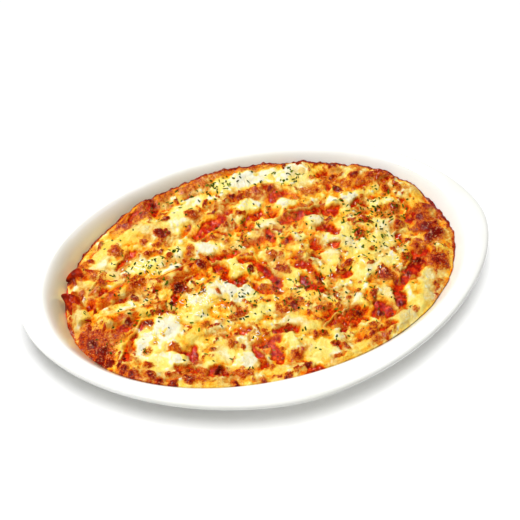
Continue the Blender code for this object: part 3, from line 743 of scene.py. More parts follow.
@dataclass(frozen=True)
class MeltedCheese(Finish):
    """Mozzarella melted and grilled.

    It looks oily and cream where it lies thick, drier and whiter where it is thickest, gold where
    it thins over the sauce, and brown on its blisters, with pale beads of fat and painted glints on the
    brown.
    """

    name: str = "mozzarella, melted and browned"
    values: tuple = (
        ("IOR", 1.45), ("Specular IOR Level", 0.0), ("Coat Roughness", 0.05),
        ("Subsurface Weight", 0.10), ("Subsurface Scale", 0.7 * MM),
        ("Subsurface Radius", (1.0, 0.55, 0.25)),
    )
    oily: tuple = (
        (0.0, "#840E00"), (0.08, "#B02200"), (0.17, "#D63E00"), (0.28, "#EA6E00"), (0.40, "#F29410"),
        (0.53, "#F7B52E"), (0.66, "#F9D050"), (0.82, "#FAE67C"), (1.0, "#F8EEB6"),
    )
    dry: tuple = (
        (0.0, "#8A1000"), (0.08, "#AE2600"), (0.17, "#C84400"), (0.28, "#C8701A"), (0.40, "#D29234"),
        (0.53, "#E4B352"), (0.66, "#EBCD74"), (0.82, "#F1E5B2"), (1.0, "#F3EFD8"),
    )
    browned: tuple = (
        (0.0, "#EFAC34"), (0.2, "#DE8C24"), (0.4, "#CA5E08"), (0.6, "#B43000"), (0.8, "#8E1000"),
        (1.0, "#5A0200"),
    )
    burnt: str = "#6A0300"
    # Pale tan of fat beads, which also stands in as painted glints on the brown crust.
    bead_glint: str = "#F2B470"
    fleck_mm: float = 0.9
    dry_patch_mm: float = 12.0
    bead_glint_mm: float = 1.2
    bead_glint_cluster_mm: float = 7.0
    pore_mm: float = 0.7
    fat_film_mm: float = 2.0

    def material(self) -> bpy.types.Material:
        """Make the cheese, coloured by how thick and how toasted it is."""
        material, tree, shader, place = self.start()
        told = {name: add_node(tree, "Attribute", {"attribute_name": name}).outputs["Fac"]
                for name in ("cover", "toast", "burnt")}
        flecks = add_node(tree, "TexNoise", inputs={
            "Vector": place, "Scale": grain_scale(self.fleck_mm), "Detail": 3.0})
        shift = add_node(tree, "MapRange", inputs={
            "Value": flecks.outputs["Fac"], "From Min": 0.3, "From Max": 0.7,
            "To Min": -0.11, "To Max": 0.11}).outputs["Result"]
        # In the browned crust the fine flecks grow up to three times stronger: grainy crust, and in the
        # lighter flecks painted glints.
        crisp_and_glinting = add_node(tree, "MapRange", inputs={
            "Value": told["toast"], "From Min": 0.1, "From Max": 0.6, "To Min": 1.0, "To Max": 3.0})
        toast = add_node(tree, "Math", {"operation": "MULTIPLY_ADD"}, {
            0: shift, 1: crisp_and_glinting.outputs["Result"], 2: told["toast"]}).outputs[0]
        brown = add_node(tree, "ValToRGB", inputs={"Fac": toast}, stops=self.browned)
        share = add_node(tree, "MapRange", {"interpolation_type": "SMOOTHSTEP"}, {
            "Value": toast, "From Min": 0.10, "From Max": 0.40}).outputs["Result"]
        mixed = add_node(tree, "Mix", {"data_type": "RGBA"}, {
            0: share, 6: self.unbrowned(tree, place, told["cover"], shift), 7: brown.outputs["Color"]})
        black = add_node(tree, "Mix", {"data_type": "RGBA"}, {
            0: told["burnt"], 6: mixed.outputs[2], 7: linear(self.burnt)})
        # Pale beads on the browned cheese: fat, and painted glints.
        glinted = add_node(tree, "Mix", {"data_type": "RGBA"}, {
            0: self.beads_and_glints(tree, place, share), 6: black.outputs[2], 7: linear(self.bead_glint)})
        tree.links.new(glinted.outputs[2], shader.inputs["Base Color"])
        dull = add_node(tree, "MapRange", inputs={
            "Value": toast, "From Min": 0.0, "From Max": 0.8, "To Min": 0.30, "To Max": 0.50})
        tree.links.new(dull.outputs["Result"], shader.inputs["Roughness"])
        sweat = add_node(tree, "MapRange", inputs={
            "Value": told["toast"], "From Min": 0.1, "From Max": 0.55, "To Min": 0.25, "To Max": 0.42})
        tree.links.new(sweat.outputs["Result"], shader.inputs["Coat Weight"])
        self.surface(tree, shader, place)
        return material

    def unbrowned(self, tree: bpy.types.NodeTree, place: bpy.types.NodeSocket,
                  cover: bpy.types.NodeSocket, shift: bpy.types.NodeSocket) -> bpy.types.NodeSocket:
        """Colour the cheese that hasn't browned.

        Args:
            tree: The node tree.
            place: Object coordinates.
            cover: How thick the cheese lies.
            shift: Fine flecks, which show less where it is thick.

        Returns:
            The colour's socket.
        """
        calm = add_node(tree, "MapRange", inputs={
            "Value": cover, "From Min": 0.55, "From Max": 0.85, "To Min": 1.0, "To Max": 0.35})
        flecked = add_node(tree, "Math", {"operation": "MULTIPLY_ADD"}, {
            0: shift, 1: calm.outputs["Result"], 2: cover})
        colours = [add_node(tree, "ValToRGB", inputs={"Fac": flecked.outputs[0]}, stops=stops)
                   for stops in (self.oily, self.dry)]
        patches = add_node(tree, "TexNoise", inputs={
            "Vector": place, "Scale": grain_scale(self.dry_patch_mm), "Detail": 3.0})
        runny = add_node(tree, "MapRange", inputs={
            "Value": cover, "From Min": 0.62, "From Max": 0.76, "To Min": 0.0, "To Max": -0.05})
        stiff = add_node(tree, "MapRange", inputs={
            "Value": cover, "From Min": 0.83, "From Max": 0.95, "To Min": 0.0, "To Max": 0.22})
        firm = add_node(tree, "Math", {"operation": "ADD"}, {
            0: runny.outputs["Result"], 1: stiff.outputs["Result"]})
        dried = add_node(tree, "Math", {"operation": "ADD"}, {
            0: patches.outputs["Fac"], 1: firm.outputs[0]})
        dryness = add_node(tree, "MapRange", {"interpolation_type": "SMOOTHSTEP"}, {
            "Value": dried.outputs[0], "From Min": 0.44, "From Max": 0.60})
        return add_node(tree, "Mix", {"data_type": "RGBA"}, {
            0: dryness.outputs["Result"], 6: colours[0].outputs["Color"],
            7: colours[1].outputs["Color"]}).outputs[2]

    def beads_and_glints(self, tree: bpy.types.NodeTree, place: bpy.types.NodeSocket,
              browned: bpy.types.NodeSocket) -> bpy.types.NodeSocket:
        """Strew pale beads of fat, in clusters, where the cheese has browned; their pale specks are partly
        painted glints.

        Args:
            tree: The node tree.
            place: Object coordinates.
            browned: How far it has browned.

        Returns:
            The socket of how much of a bead and its painted glint shows.
        """
        glint_drops = add_node(tree, "TexNoise", inputs={
            "Vector": place, "Scale": grain_scale(self.bead_glint_mm), "Detail": 1.5})
        glint_drop = add_node(tree, "MapRange", {"interpolation_type": "SMOOTHSTEP"}, {
            "Value": glint_drops.outputs["Fac"], "From Min": 0.56, "From Max": 0.72, "To Max": 0.75})
        spread = add_node(tree, "TexNoise", inputs={
            "Vector": place, "Scale": grain_scale(self.bead_glint_cluster_mm), "Detail": 1.0})
        cluster = add_node(tree, "MapRange", inputs={
            "Value": spread.outputs["Fac"], "From Min": 0.40, "From Max": 0.60,
            "To Min": 0.15, "To Max": 0.9})
        clustered = add_node(tree, "Math", {"operation": "MULTIPLY"}, {
            0: glint_drop.outputs["Result"], 1: cluster.outputs["Result"]})
        return add_node(tree, "Math", {"operation": "MULTIPLY"}, {
            0: clustered.outputs[0], 1: browned}).outputs[0]

    def surface(self, tree: bpy.types.NodeTree, shader: bpy.types.Node,
                place: bpy.types.NodeSocket) -> None:
        """Pit the cheese with pores, under a film of fat whose own ripples are wider."""
        for size, detail, strength, depth, target in (
                (self.pore_mm, 3.0, 1.0, 1.0, "Normal"), (self.fat_film_mm, 1.5, 0.9, 1.3, "Coat Normal")):
            noise = add_node(tree, "TexNoise", inputs={
                "Vector": place, "Scale": grain_scale(size), "Detail": detail})
            bump = add_node(tree, "Bump", inputs={
                "Height": noise.outputs["Fac"], "Strength": strength, "Distance": depth * MM})
            tree.links.new(bump.outputs["Normal"], shader.inputs[target])


@dataclass(frozen=True)
class Stew(Finish):
    """Something cooked in sauce: wet, mottled in its shades, with one relief under its gloss."""

    values: tuple = (
        ("IOR", 1.45), ("Specular IOR Level", 0.0), ("Coat Weight", 0.5), ("Coat Roughness", 0.07))
    shades: tuple = ()
    mottle_mm: float = 3.5
    mottle_detail: float = 4.0
    lump_mm: float = 1.4
    lump_strength: float = 0.9
    lump_depth_mm: float = 0.9
    burnt: str = ""

    def material(self) -> bpy.types.Material:
        """Make the finish, darker in burnt spots where it has a burnt colour."""
        material, tree, shader, place = self.start()
        mottle = add_node(tree, "TexNoise", inputs={
            "Vector": place, "Scale": grain_scale(self.mottle_mm), "Detail": self.mottle_detail})
        colour = add_node(tree, "ValToRGB", inputs={"Fac": mottle.outputs["Fac"]},
                          stops=self.shades).outputs["Color"]
        if self.burnt:
            char = add_node(tree, "Attribute", {"attribute_name": "burnt"})
            colour = add_node(tree, "Mix", {"data_type": "RGBA"}, {
                0: char.outputs["Fac"], 6: colour, 7: linear(self.burnt)}).outputs[2]
        tree.links.new(colour, shader.inputs["Base Color"])
        lumps = add_node(tree, "TexNoise", inputs={
            "Vector": place, "Scale": grain_scale(self.lump_mm), "Detail": 2.0})
        bump = add_node(tree, "Bump", inputs={
            "Height": lumps.outputs["Fac"], "Strength": self.lump_strength,
            "Distance": self.lump_depth_mm * MM})
        for target in ("Normal", "Coat Normal"):
            tree.links.new(bump.outputs["Normal"], shader.inputs[target])
        return material


# Cooked down, deep red, wet and lumpy with mince.
TOMATO_SAUCE = Stew(
    "tomato and meat sauce, cooked", 0.22,
    (("IOR", 1.4), ("Specular IOR Level", 0.0), ("Coat Weight", 0.6), ("Coat Roughness", 0.05),
     ("Subsurface Weight", 0.05), ("Subsurface Scale", 0.7 * MM)),
    ((0.28, "#7A0600"), (0.42, "#A41000"), (0.55, "#CC2C00"), (0.66, "#E25006"), (0.78, "#F08C28")),
    mottle_mm=3.4, mottle_detail=2.5, lump_mm=1.2, lump_strength=0.8, lump_depth_mm=0.7,
    burnt="#5A0400")
# Soaked in sauce: a shiny, stained skin.
SAUCY_PASTA = Stew(
    "durum pasta, soaked in sauce and browned", 0.3, shades=(
        (0.25, "#5C0A00"), (0.42, "#9A2000"), (0.55, "#CC4400"), (0.68, "#E67410"), (0.8, "#F2A435")))
# Baked hard where it stands out of the sauce: darker and duller.
DARK_PASTA = Stew(
    "durum pasta, dried and browned at the wall", 0.42,
    (("IOR", 1.45), ("Specular IOR Level", 0.0), ("Coat Weight", 0.25), ("Coat Roughness", 0.12)),
    ((0.25, "#5A0600"), (0.42, "#841200"), (0.55, "#A82400"), (0.68, "#C84406"), (0.8, "#E07A18")))


@dataclass(frozen=True)
class Morsel(Finish):
    """A strewn thing: shades that change from one piece to the next."""

    shades: tuple = ()
    patch_mm: float = 2.0

    def material(self) -> bpy.types.Material:
        """Make the finish from its shades."""
        material, tree, shader, place = self.start()
        patch = add_node(tree, "TexNoise", inputs={
            "Vector": place, "Scale": grain_scale(self.patch_mm), "Detail": 2.0})
        colour = add_node(tree, "ValToRGB", inputs={"Fac": patch.outputs["Fac"]}, stops=self.shades)
        tree.links.new(colour.outputs["Color"], shader.inputs["Base Color"])
        return material


# Dull dark green, here and there faded to olive.
PARSLEY = Morsel("parsley, dried and chopped", 0.9, (("Specular IOR Level", 0.0),),
                 ((0.36, "#1C2800"), (0.52, "#3A4A04"), (0.70, "#7E8E1C")), 3.0)
# Almost white, with a soft shine.
GRATED = Morsel("hard cheese, finely grated", 0.45, (), ((0.35, "#FBF3DC"), (0.65, "#FFFDF4")))
# Dark and damp.
MINCE = Morsel("beef mince, cooked in sauce", 0.4,
               (("Specular IOR Level", 0.16), ("Coat Weight", 0.25), ("Coat Roughness", 0.05)),
               ((0.3, "#5A0A00"), (0.5, "#9C2404"), (0.7, "#CC5A18")), 1.6)
# Plain matt white.
FLOOR = Morsel("paper sweep, matt white", 0.8, (), ((0.4, "#FFFFFF"), (0.6, "#FEFEFE")), 60.0)


# ---------------------------------------------------------------- modelling by hand


def start_fresh() -> None:
    """Be in object mode with nothing selected."""
    if bpy.context.object and bpy.context.object.mode != "OBJECT":
        bpy.ops.object.mode_set(mode="OBJECT")
    bpy.ops.object.select_all(action="DESELECT")


def edit(piece: bpy.types.Object, mode: str = "VERT") -> None:
    """Open one piece in edit mode with nothing of it selected."""
    start_fresh()
    piece.select_set(True)
    bpy.context.view_layer.objects.active = piece
    bpy.ops.object.mode_set(mode="EDIT")
    bpy.ops.mesh.select_mode(type=mode)
    bpy.ops.mesh.select_all(action="DESELECT")


def place_selected(piece: bpy.types.Object, move: Callable[[Vector], Vector]) -> None:
    """Put each selected vertex where a function says, in edit mode."""
    mesh = bmesh.from_edit_mesh(piece.data)
    for corner in mesh.verts:
        if corner.select:
            corner.co = move(corner.co)
    bmesh.update_edit_mesh(piece.data)


def choose(piece: bpy.types.Object, kind: str, wanted: Callable[..., bool]) -> None:
    """Select, in edit mode, only the wanted parts of a piece.

    Args:
        piece: The piece.
        kind: Which parts: "faces" or "edges".
        wanted: Tells of one such part whether it is wanted.
    """
    bpy.ops.mesh.select_all(action="DESELECT")
    mesh = bmesh.from_edit_mesh(piece.data)
    for part in getattr(mesh, kind):
        part.select = wanted(part)
    bmesh.update_edit_mesh(piece.data)


def turn_ring(ring: list) -> list:
    """Start a face's ring of corners at a low number, but leave a quad split as it is."""
    step = {3: 1, 4: 2}.get(len(ring), len(ring))
    start = min(range(0, len(ring), step), key=lambda place: ring[place])
    return ring[start:] + ring[:start]


def put_in_order(piece: bpy.types.Object) -> None:
    """Rebuild a mesh with its faces in one order, so that every run gives the same mesh.

    The operators of edit mode keep the order of the vertices, but not that of the faces.
    """
    old, new = piece.data, bpy.data.meshes.new(piece.name)
    mesh = bmesh.new()
    corners = [mesh.verts.new(corner.co) for corner in old.vertices]
    for ring in sorted(turn_ring(list(face.vertices)) for face in old.polygons):
        mesh.faces.new([corners[number] for number in ring])
    mesh.to_mesh(new)
    mesh.free()
    for marks in old.attributes:
        if marks.data_type == "FLOAT" and marks.domain == "POINT":
            values = np.empty(len(marks.data))
            marks.data.foreach_get("value", values)
            new.attributes.new(marks.name, "FLOAT", "POINT").data.foreach_set("value", values)
    piece.data = new
    bpy.data.meshes.remove(old)


def seal(piece: bpy.types.Object) -> None:
    """Turn all faces outward, leave edit mode and put the faces in order."""
    bpy.ops.mesh.select_all(action="SELECT")
    bpy.ops.mesh.normals_make_consistent(inside=False)
    bpy.ops.object.mode_set(mode="OBJECT")
    put_in_order(piece)


def round_off(piece: bpy.types.Object, levels: int) -> None:
    """Smooth a modelled piece by subdivision."""
    smoother = piece.modifiers.new("rounded", "SUBSURF")
    smoother.levels = smoother.render_levels = levels
    bpy.ops.object.modifier_apply(modifier=smoother.name)
    bpy.ops.object.shade_smooth()


def finish_piece(piece: bpy.types.Object, name: str, material: bpy.types.Material,
                 replaced: tuple = ()) -> bpy.types.Object:
    """Name, dress and hang a finished piece on the frame.

    Args:
        piece: The modelled piece, its place already in its mesh.
        name: Its name in the table of pieces.
        material: Its finish.
        replaced: CAD nodes that it stands for.

    Returns:
        The piece.
    """
    if piece.mode != "OBJECT":
        bpy.ops.object.mode_set(mode="OBJECT")
    piece.name = name
    piece.data.name = name
    piece.data.materials.clear()
    piece.data.materials.append(material)
    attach(piece, "root")
    if replaced:
        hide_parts(*replaced)
    LOG.info("%s: %d vertices, %d faces", name, len(piece.data.vertices), len(piece.data.polygons))
    return piece


@dataclass(frozen=True)
class Oval:
    """A level superellipse: half length, half width and power, at a height, in metres."""

    half_length: float
    half_width: float
    power: float
    height: float

    def point(self, angle: float) -> Vector:
        """The point of the oval that belongs to an angle on a circle."""
        along, across = math.cos(angle), math.sin(angle)
        x = self.half_length * math.copysign(abs(along) ** (2 / self.power), along)
        y = self.half_width * math.copysign(abs(across) ** (2 / self.power), across)
        return Vector((x, y, self.height))

    def angle(self, place: Vector) -> float:
        """The angle on a circle that a point of the oval belongs to."""
        along = math.copysign(abs(place.x / self.half_length) ** (self.power / 2), place.x)
        across = math.copysign(abs(place.y / self.half_width) ** (self.power / 2), place.y)
        return math.atan2(across, along)


@dataclass
class GratinDish:
    """The oval dish: a broad domed rim, a sloping wall and a flat base, in metres.

    A run is a share of the way down the inner wall, from 0 at the mouth to 1 at the floor. The
    wall's straight slope starts at a run and a drop below the rim, and ends at a run and a rise
    above the floor.
    """

    segments: int = 96
    rim: tuple = (0.1325, 0.09375, 1.78)
    mouth: tuple = (0.1185, 0.07775, 2.05)
    floor: tuple = (0.092, 0.056, 2.0)
    height: float = 0.040
    floor_thickness: float = 0.0052
    wall_thickness: float = 0.0055
    outer_top: float = 0.0320
    outer_foot: float = 0.0100
    slope_top: tuple = (0.10, 0.0035)
    slope_foot: tuple = (0.72, 0.0068)
    # Band of the tan mark on the inner wall: baked-on fat and painted shade.
    fat_and_shade_below_rim: float = 0.0005
    fat_and_shade_depth: float = 0.009

    @staticmethod
    def between(near: tuple, far: tuple, share: float, height: float) -> Oval:
        """An oval a share of the way from one to another, at a height."""
        return Oval(*[a + (b - a) * share for a, b in zip(near, far)], height)

    def inner_wall(self, run: float, height: float) -> Oval:
        """The inner wall from mouth (0) to floor (1)."""
        return self.between(self.mouth, self.floor, run, height)

    def run_at(self, height: float) -> float:
        """The run of the wall's straight slope at a height."""
        high, low = self.height - self.slope_top[1], self.floor_thickness + self.slope_foot[1]
        return self.slope_top[0] + (self.slope_foot[0] - self.slope_top[0]) * (high - height) / (high - low)

    def wall_at(self, height: float) -> Oval:
        """The inner wall at a height on its straight slope."""
        return self.inner_wall(self.run_at(height), height)

    def half_axes(self, height: np.ndarray) -> tuple:
        """Half the inner wall's length and width at heights on its slope, all in millimetres."""
        run = self.run_at(height * MM)
        half_length, half_width = (
            (top + (foot - top) * run) / MM for top, foot in zip(self.mouth[:2], self.floor[:2]))
        return half_length, half_width

    def stations(self) -> list:
        """The dish's section, from its floor's edge over the rim to its base."""
        top, thick = self.height, self.floor_thickness
        inner = ((1.00, thick), (0.90, thick + 0.0012), (0.80, thick + 0.0036),
                 (self.slope_foot[0], thick + self.slope_foot[1]),
                 (self.slope_top[0], top - self.slope_top[1]), (0.0, top - 0.0013))
        over = ((0.10, top - 0.0003), (0.45, top), (0.82, top - 0.0004), (0.96, top - 0.0012),
                (1.00, top - 0.0026), (0.96, top - 0.0040), (0.80, top - 0.0045), (0.30, top - 0.0054))
        rings = [self.inner_wall(run, height) for run, height in inner]
        rings += [self.between(self.mouth, self.rim, share, height) for share, height in over]
        for height in (self.outer_top, self.outer_foot):
            wall = self.wall_at(height)
            rings.append(Oval(wall.half_length + self.wall_thickness,
                              wall.half_width + self.wall_thickness, wall.power, height))
        for wider, height in ((0.0050, 0.0040), (0.0015, 0.0012), (0.0005, 0.0)):
            rings.append(Oval(self.floor[0] + wider, self.floor[1] + wider, 2.0, height))
        return rings

    def build(self, material: bpy.types.Material) -> bpy.types.Object:
        """Draw the section round the oval, ring by ring, and round it off."""
        rings = self.stations()
        start_fresh()
        bpy.ops.mesh.primitive_circle_add(vertices=self.segments, radius=1.0, fill_type="NOTHING")
        dish = bpy.context.object
        edit(dish, "EDGE")
        bpy.ops.mesh.select_all(action="SELECT")
        unit = Oval(1.0, 1.0, 2.0, 0.0)
        place_selected(dish, lambda at: rings[0].point(unit.angle(at)))
        for before, after in zip(rings, rings[1:]):
            bpy.ops.mesh.extrude_edges_move()
            place_selected(dish, lambda at: after.point(before.angle(at)))
        self.cap(dish)
        bpy.ops.mesh.select_all(action="DESELECT")
        bpy.ops.mesh.select_non_manifold()
        self.cap(dish)
        seal(dish)
        round_off(dish, 2)
        self.stain_and_shade(dish)
        return finish_piece(dish, "gratin_dish_glazed", material, ("gratin_dish",))

    @staticmethod
    def cap(dish: bpy.types.Object) -> None:
        """Close the selected ring, flat, by two smaller rings and a point."""
        for share in (0.55, 0.2):
            bpy.ops.mesh.extrude_edges_move()
            place_selected(dish, lambda at: Vector((at.x * share, at.y * share, at.z)))
        bpy.ops.mesh.merge(type="CENTER")

    def stain_and_shade(self, dish: bpy.types.Object) -> None:
        """Mark the inner wall's tan: baked-on fat, most just above the food, and painted shade, strongest at
        the west where the wall lies in shade.
        """
        marks = dish.data.attributes.new("fat", "FLOAT", "POINT")
        for number, corner in enumerate(dish.data.vertices):
            x, y, z = corner.co
            wall = self.wall_at(z)
            inside = math.hypot(x / wall.half_length, y / wall.half_width) < 1.015
            low = min(1.0, max(0.0, (self.height - self.fat_and_shade_below_rim - z) / self.fat_and_shade_depth))
            # Painted shade: the tan grows towards the west, where the inner wall lies in shade.
            shaded_west = 0.45 + 0.4 * min(1.0, max(-1.0, (-x + 0.35 * y) / 0.09))
            marks.data[number].value = low * shaded_west if inside and z > self.floor_thickness else 0.0


@dataclass
class FoodSheet:
    """A fine sheet over the whole food, closed underneath."""

    top: BakedTop
    dish: GratinDish
    columns: int
    rows: int
    edge_lift: float = 0.0
    gap: float = 0.3
    first_reach: tuple = (114.0, 74.0)
    reach_rounds: int = 4
    reach_place: tuple = ()

    def rim_height(self, x: np.ndarray, y: np.ndarray) -> np.ndarray:
        """Height in millimetres at which the sheet meets the wall."""
        return self.top.ground(x, y) + self.edge_lift

    def reach(self, angle: np.ndarray) -> tuple:
        """Where the sheet's edge is, for angles on a circle, in millimetres."""
        x, y = self.first_reach[0] * np.cos(angle), self.first_reach[1] * np.sin(angle)
        for _ in range(self.reach_rounds):
            half_length, half_width = self.dish.half_axes(self.rim_height(x, y))
            x = (half_length - self.gap) * np.cos(angle)
            y = (half_width - self.gap) * np.sin(angle)
        kept = 1 - self.top.shrinkage(x, y) / np.hypot(x, y)
        return x * kept, y * kept

    def heights(self, told: Survey, share: np.ndarray) -> np.ndarray:
        """Height of the sheet in millimetres."""
        raise NotImplementedError

    def lay(self) -> bpy.types.Object:
        """Lay a grid over the food and raise it to its relief.

        Returns:
            The sheet's object, still open underneath.
        """
        start_fresh()
        bpy.ops.mesh.primitive_grid_add(x_subdivisions=self.columns, y_subdivisions=self.rows, size=2.0)
        sheet = bpy.context.object
        count = len(sheet.data.vertices)
        flat = np.empty(count * 3)
        sheet.data.vertices.foreach_get("co", flat)
        flat = flat.reshape(-1, 3)
        across, up = flat[:, 0], flat[:, 1]
        u = across * np.sqrt(1 - up**2 / 2)
        v = up * np.sqrt(1 - across**2 / 2)
        share = np.minimum(np.hypot(u, v), 1.0)
        edge_x, edge_y = self.reach(np.arctan2(v, u))
        x, y = edge_x * share, edge_y * share
        told = self.top.survey(x, y)
        self.reach_place = edge_x, edge_y
        flat[:, 0], flat[:, 1] = x * MM, y * MM
        flat[:, 2] = self.heights(told, share) * MM
        sheet.data.vertices.foreach_set("co", flat.ravel())
        for name in ("cover", "toast", "burnt"):
            marks = sheet.data.attributes.new(name, "FLOAT", "POINT")
            marks.data.foreach_set("value", getattr(told, name).astype(np.float32))
        sheet.data.update()
        return sheet

    def close(self, sheet: bpy.types.Object, steps: tuple) -> None:
        """Close the sheet underneath: one ring of faces for each step, then a point.

        Args:
            sheet: The open sheet.
            steps: Functions that place a point of the last ring on the next.
        """
        edit(sheet, "EDGE")
        bpy.ops.mesh.select_non_manifold()
        for step in steps:
            bpy.ops.mesh.extrude_edges_move()
            place_selected(sheet, step)
        bpy.ops.mesh.merge(type="CENTER")
        seal(sheet)
        start_fresh()
        sheet.select_set(True)
        bpy.ops.object.shade_smooth()


@dataclass
class SauceBed(FoodSheet):
    """The bed of penne and mince in sauce, which fills the dish."""

    columns: int = 300
    rows: int = 200
    edge_lift: float = -0.8
    clear_of_wall: float = 0.996
    clear_of_floor: float = 0.0003

    def heights(self, told: Survey, share: np.ndarray) -> np.ndarray:
        """The sauce's own top, level with the wall at its edge."""
        return told.sauce_top - 0.5 * smooth(share, 0.99, 1.0)

    def build(self, material: bpy.types.Material) -> bpy.types.Object:
        """Lay the bed and close it along the dish's wall and floor."""
        bed = self.lay()

        def along_wall(run: float, height: float) -> Callable[[Vector], Vector]:
            """The step to a ring just inside the wall, at a run and a height."""
            wall = self.dish.inner_wall(run, height)

            def step(at: Vector) -> Vector:
                """Where a point of the last ring lies on this one."""
                turn = math.atan2(at.y / wall.half_width, at.x / wall.half_length)
                place = wall.point(turn) * self.clear_of_wall
                return Vector((place.x, place.y, height + self.clear_of_floor))

            return step

        thick = self.dish.floor_thickness
        levels = (self.dish.slope_foot, (0.84, 0.0026), (1.0, 0.0))
        self.close(bed, tuple(along_wall(run, thick + rise) for run, rise in levels))
        return finish_piece(bed, "sauce_bed", material, ("pasta_in_sauce",))


@dataclass
class CheeseLayer(FoodSheet):
    """The layer of melted, browned cheese."""

    columns: int = 364
    rows: int = 240
    edge_lift: float = 1.0
    gap: float = 0.0
    setback: float = 0.15
    west_setback: float = 1.5

    def rim_height(self, x: np.ndarray, y: np.ndarray) -> np.ndarray:
        """Height of the crust's edge, which is knobbly."""
        knobs = 0.8 * waves(x, y, 4.6, 73) + 0.5 * waves(x, y, 2.2, 74)
        return super().rim_height(x, y) + knobs

    def reach(self, angle: np.ndarray) -> tuple:
        """The cheese stops short of the wall, and well short of it at the west end."""
        x, y = super().reach(angle)
        out = np.hypot(x, y)
        westward = smooth(-x / out, 0.90, 0.98) * smooth(y, -4.0, 6.0)
        ragged = 1.0 + 0.6 * waves(x, y, 9.0, 71) + 0.35 * waves(x, y, 3.5, 72)
        back = blend(self.setback, self.west_setback, westward) * np.clip(ragged, 0.0, 2.0)
        return x * (1 - back / out), y * (1 - back / out)

    def heights(self, told: Survey, share: np.ndarray) -> np.ndarray:
        """The cheese's top, which settles to one height where it meets the wall."""
        x, y = self.reach_place
        rim = self.rim_height(x, y)
        return told.cheese_top + smooth(share, 0.965, 1.0) * (rim - told.cheese_top)

    def build(self, material: bpy.types.Material) -> bpy.types.Object:
        """Lay the cheese and close it under itself."""
        layer = self.lay()

        def under(share: float, depth: float) -> Callable[[Vector], Vector]:
            """The step to a smaller ring, at a depth under the food's top."""

            def step(at: Vector) -> Vector:
                """Where a point of the last ring lies on this one."""
                x, y = np.array([at.x * share / MM]), np.array([at.y * share / MM])
                return Vector((at.x * share, at.y * share, (self.top.ground(x, y)[0] - depth) * MM))

            return step

        self.close(layer, (under(0.995, 2.4), under(0.95, 3.4), under(0.7, 3.4), under(0.4, 3.4)))
        return finish_piece(layer, "cheese_layer", material, ("melted_cheese",))


# ---------------------------------------------------------------- penne


@dataclass
class PenneTube:
    """One ridged tube of pasta, cut slantwise at both ends, in metres."""

    spot: PenneSpot
    wall: float = 0.0012
    grooves: int = 18
    groove_depth: float = 0.00028
    slant: float = 0.8
    sag: float = 0.0004
    dent: float = 0.07
    hollow: float = 0.28
    cuts: int = 11

    def bore(self, tube: bpy.types.Object, length: float) -> None:
        """Hollow both ends to a share of the length."""
        choose(tube, "faces", lambda face: abs(face.normal.z) > 0.9)
        bpy.ops.mesh.inset(thickness=self.wall, use_individual=True)
        for sign in (1, -1):
            choose(tube, "faces", lambda face: len(face.verts) > 4 and face.normal.z * sign > 0.9)
            bpy.ops.mesh.extrude_region_move(
                TRANSFORM_OT_translate={"value": (0, 0, -sign * self.hollow * length)})

    def cut_rings(self, tube: bpy.types.Object, radius: float, length: float) -> None:
        """Cut the outer wall into rings, so that it can bend."""

        def lengthwise(line: bmesh.types.BMEdge) -> bool:
            """Whether an edge runs along the outer wall from end to end."""
            ends = [abs(corner.co.z) > 0.49 * length for corner in line.verts]
            outer = all(corner.co.xy.length > 0.95 * radius for corner in line.verts)
            return outer and all(ends) and line.verts[0].co.z * line.verts[1].co.z < 0

        choose(tube, "edges", lengthwise)
        bpy.ops.mesh.subdivide(number_cuts=self.cuts)

    def shape(self, radius: float, length: float) -> Callable[[Vector], Vector]:
        """The function that grooves, dents and slants the tube at one of its points."""
        bend = np.random.default_rng(int(self.spot.turn * 10) + 3).uniform(-1, 1)

        def shaped(at: Vector) -> Vector:
            """Where a point of the plain tube goes."""
            scale = 1.0
            if at.xy.length > 0.95 * radius:
                step = round(math.atan2(at.y, at.x) / (math.pi / self.grooves))
                scale = 1.0 - self.groove_depth / radius * (step % 2)
            along = at.z / (length / 2)
            dent = self.dent * math.sin(3.1 * along + bend)
            x, y = at.x * scale * (1 + dent), at.y * scale * (1 - dent)
            return Vector((x, y + self.sag * (1 - along**2) * bend, at.z + y * self.slant))

        return shaped

    def build(self, material: bpy.types.Material) -> bpy.types.Object:
        """Model the tube standing at the origin, then lay it down at its place."""
        radius, length = self.spot.radius * MM, self.spot.length * MM
        start_fresh()
        bpy.ops.mesh.primitive_cylinder_add(vertices=self.grooves * 2, radius=radius,
                                            depth=length, end_fill_type="NGON")
        tube = bpy.context.object
        edit(tube, "FACE")
        self.bore(tube, length)
        self.cut_rings(tube, radius, length)
        bpy.ops.mesh.select_all(action="SELECT")
        place_selected(tube, self.shape(radius, length))
        seal(tube)
        round_off(tube, 1)
        lying = Matrix.Rotation(math.radians(90), 4, "Y")
        posed = Euler((0.0, -math.radians(self.spot.tilt), math.radians(self.spot.turn)))
        place = Matrix.Translation(Vector(self.spot.middle) * MM)
        tube.data.transform(place @ posed.to_matrix().to_4x4() @ lying)
        return finish_piece(tube, self.spot.node + "_sauced", material, (self.spot.node,))


# ---------------------------------------------------------------- strewn things


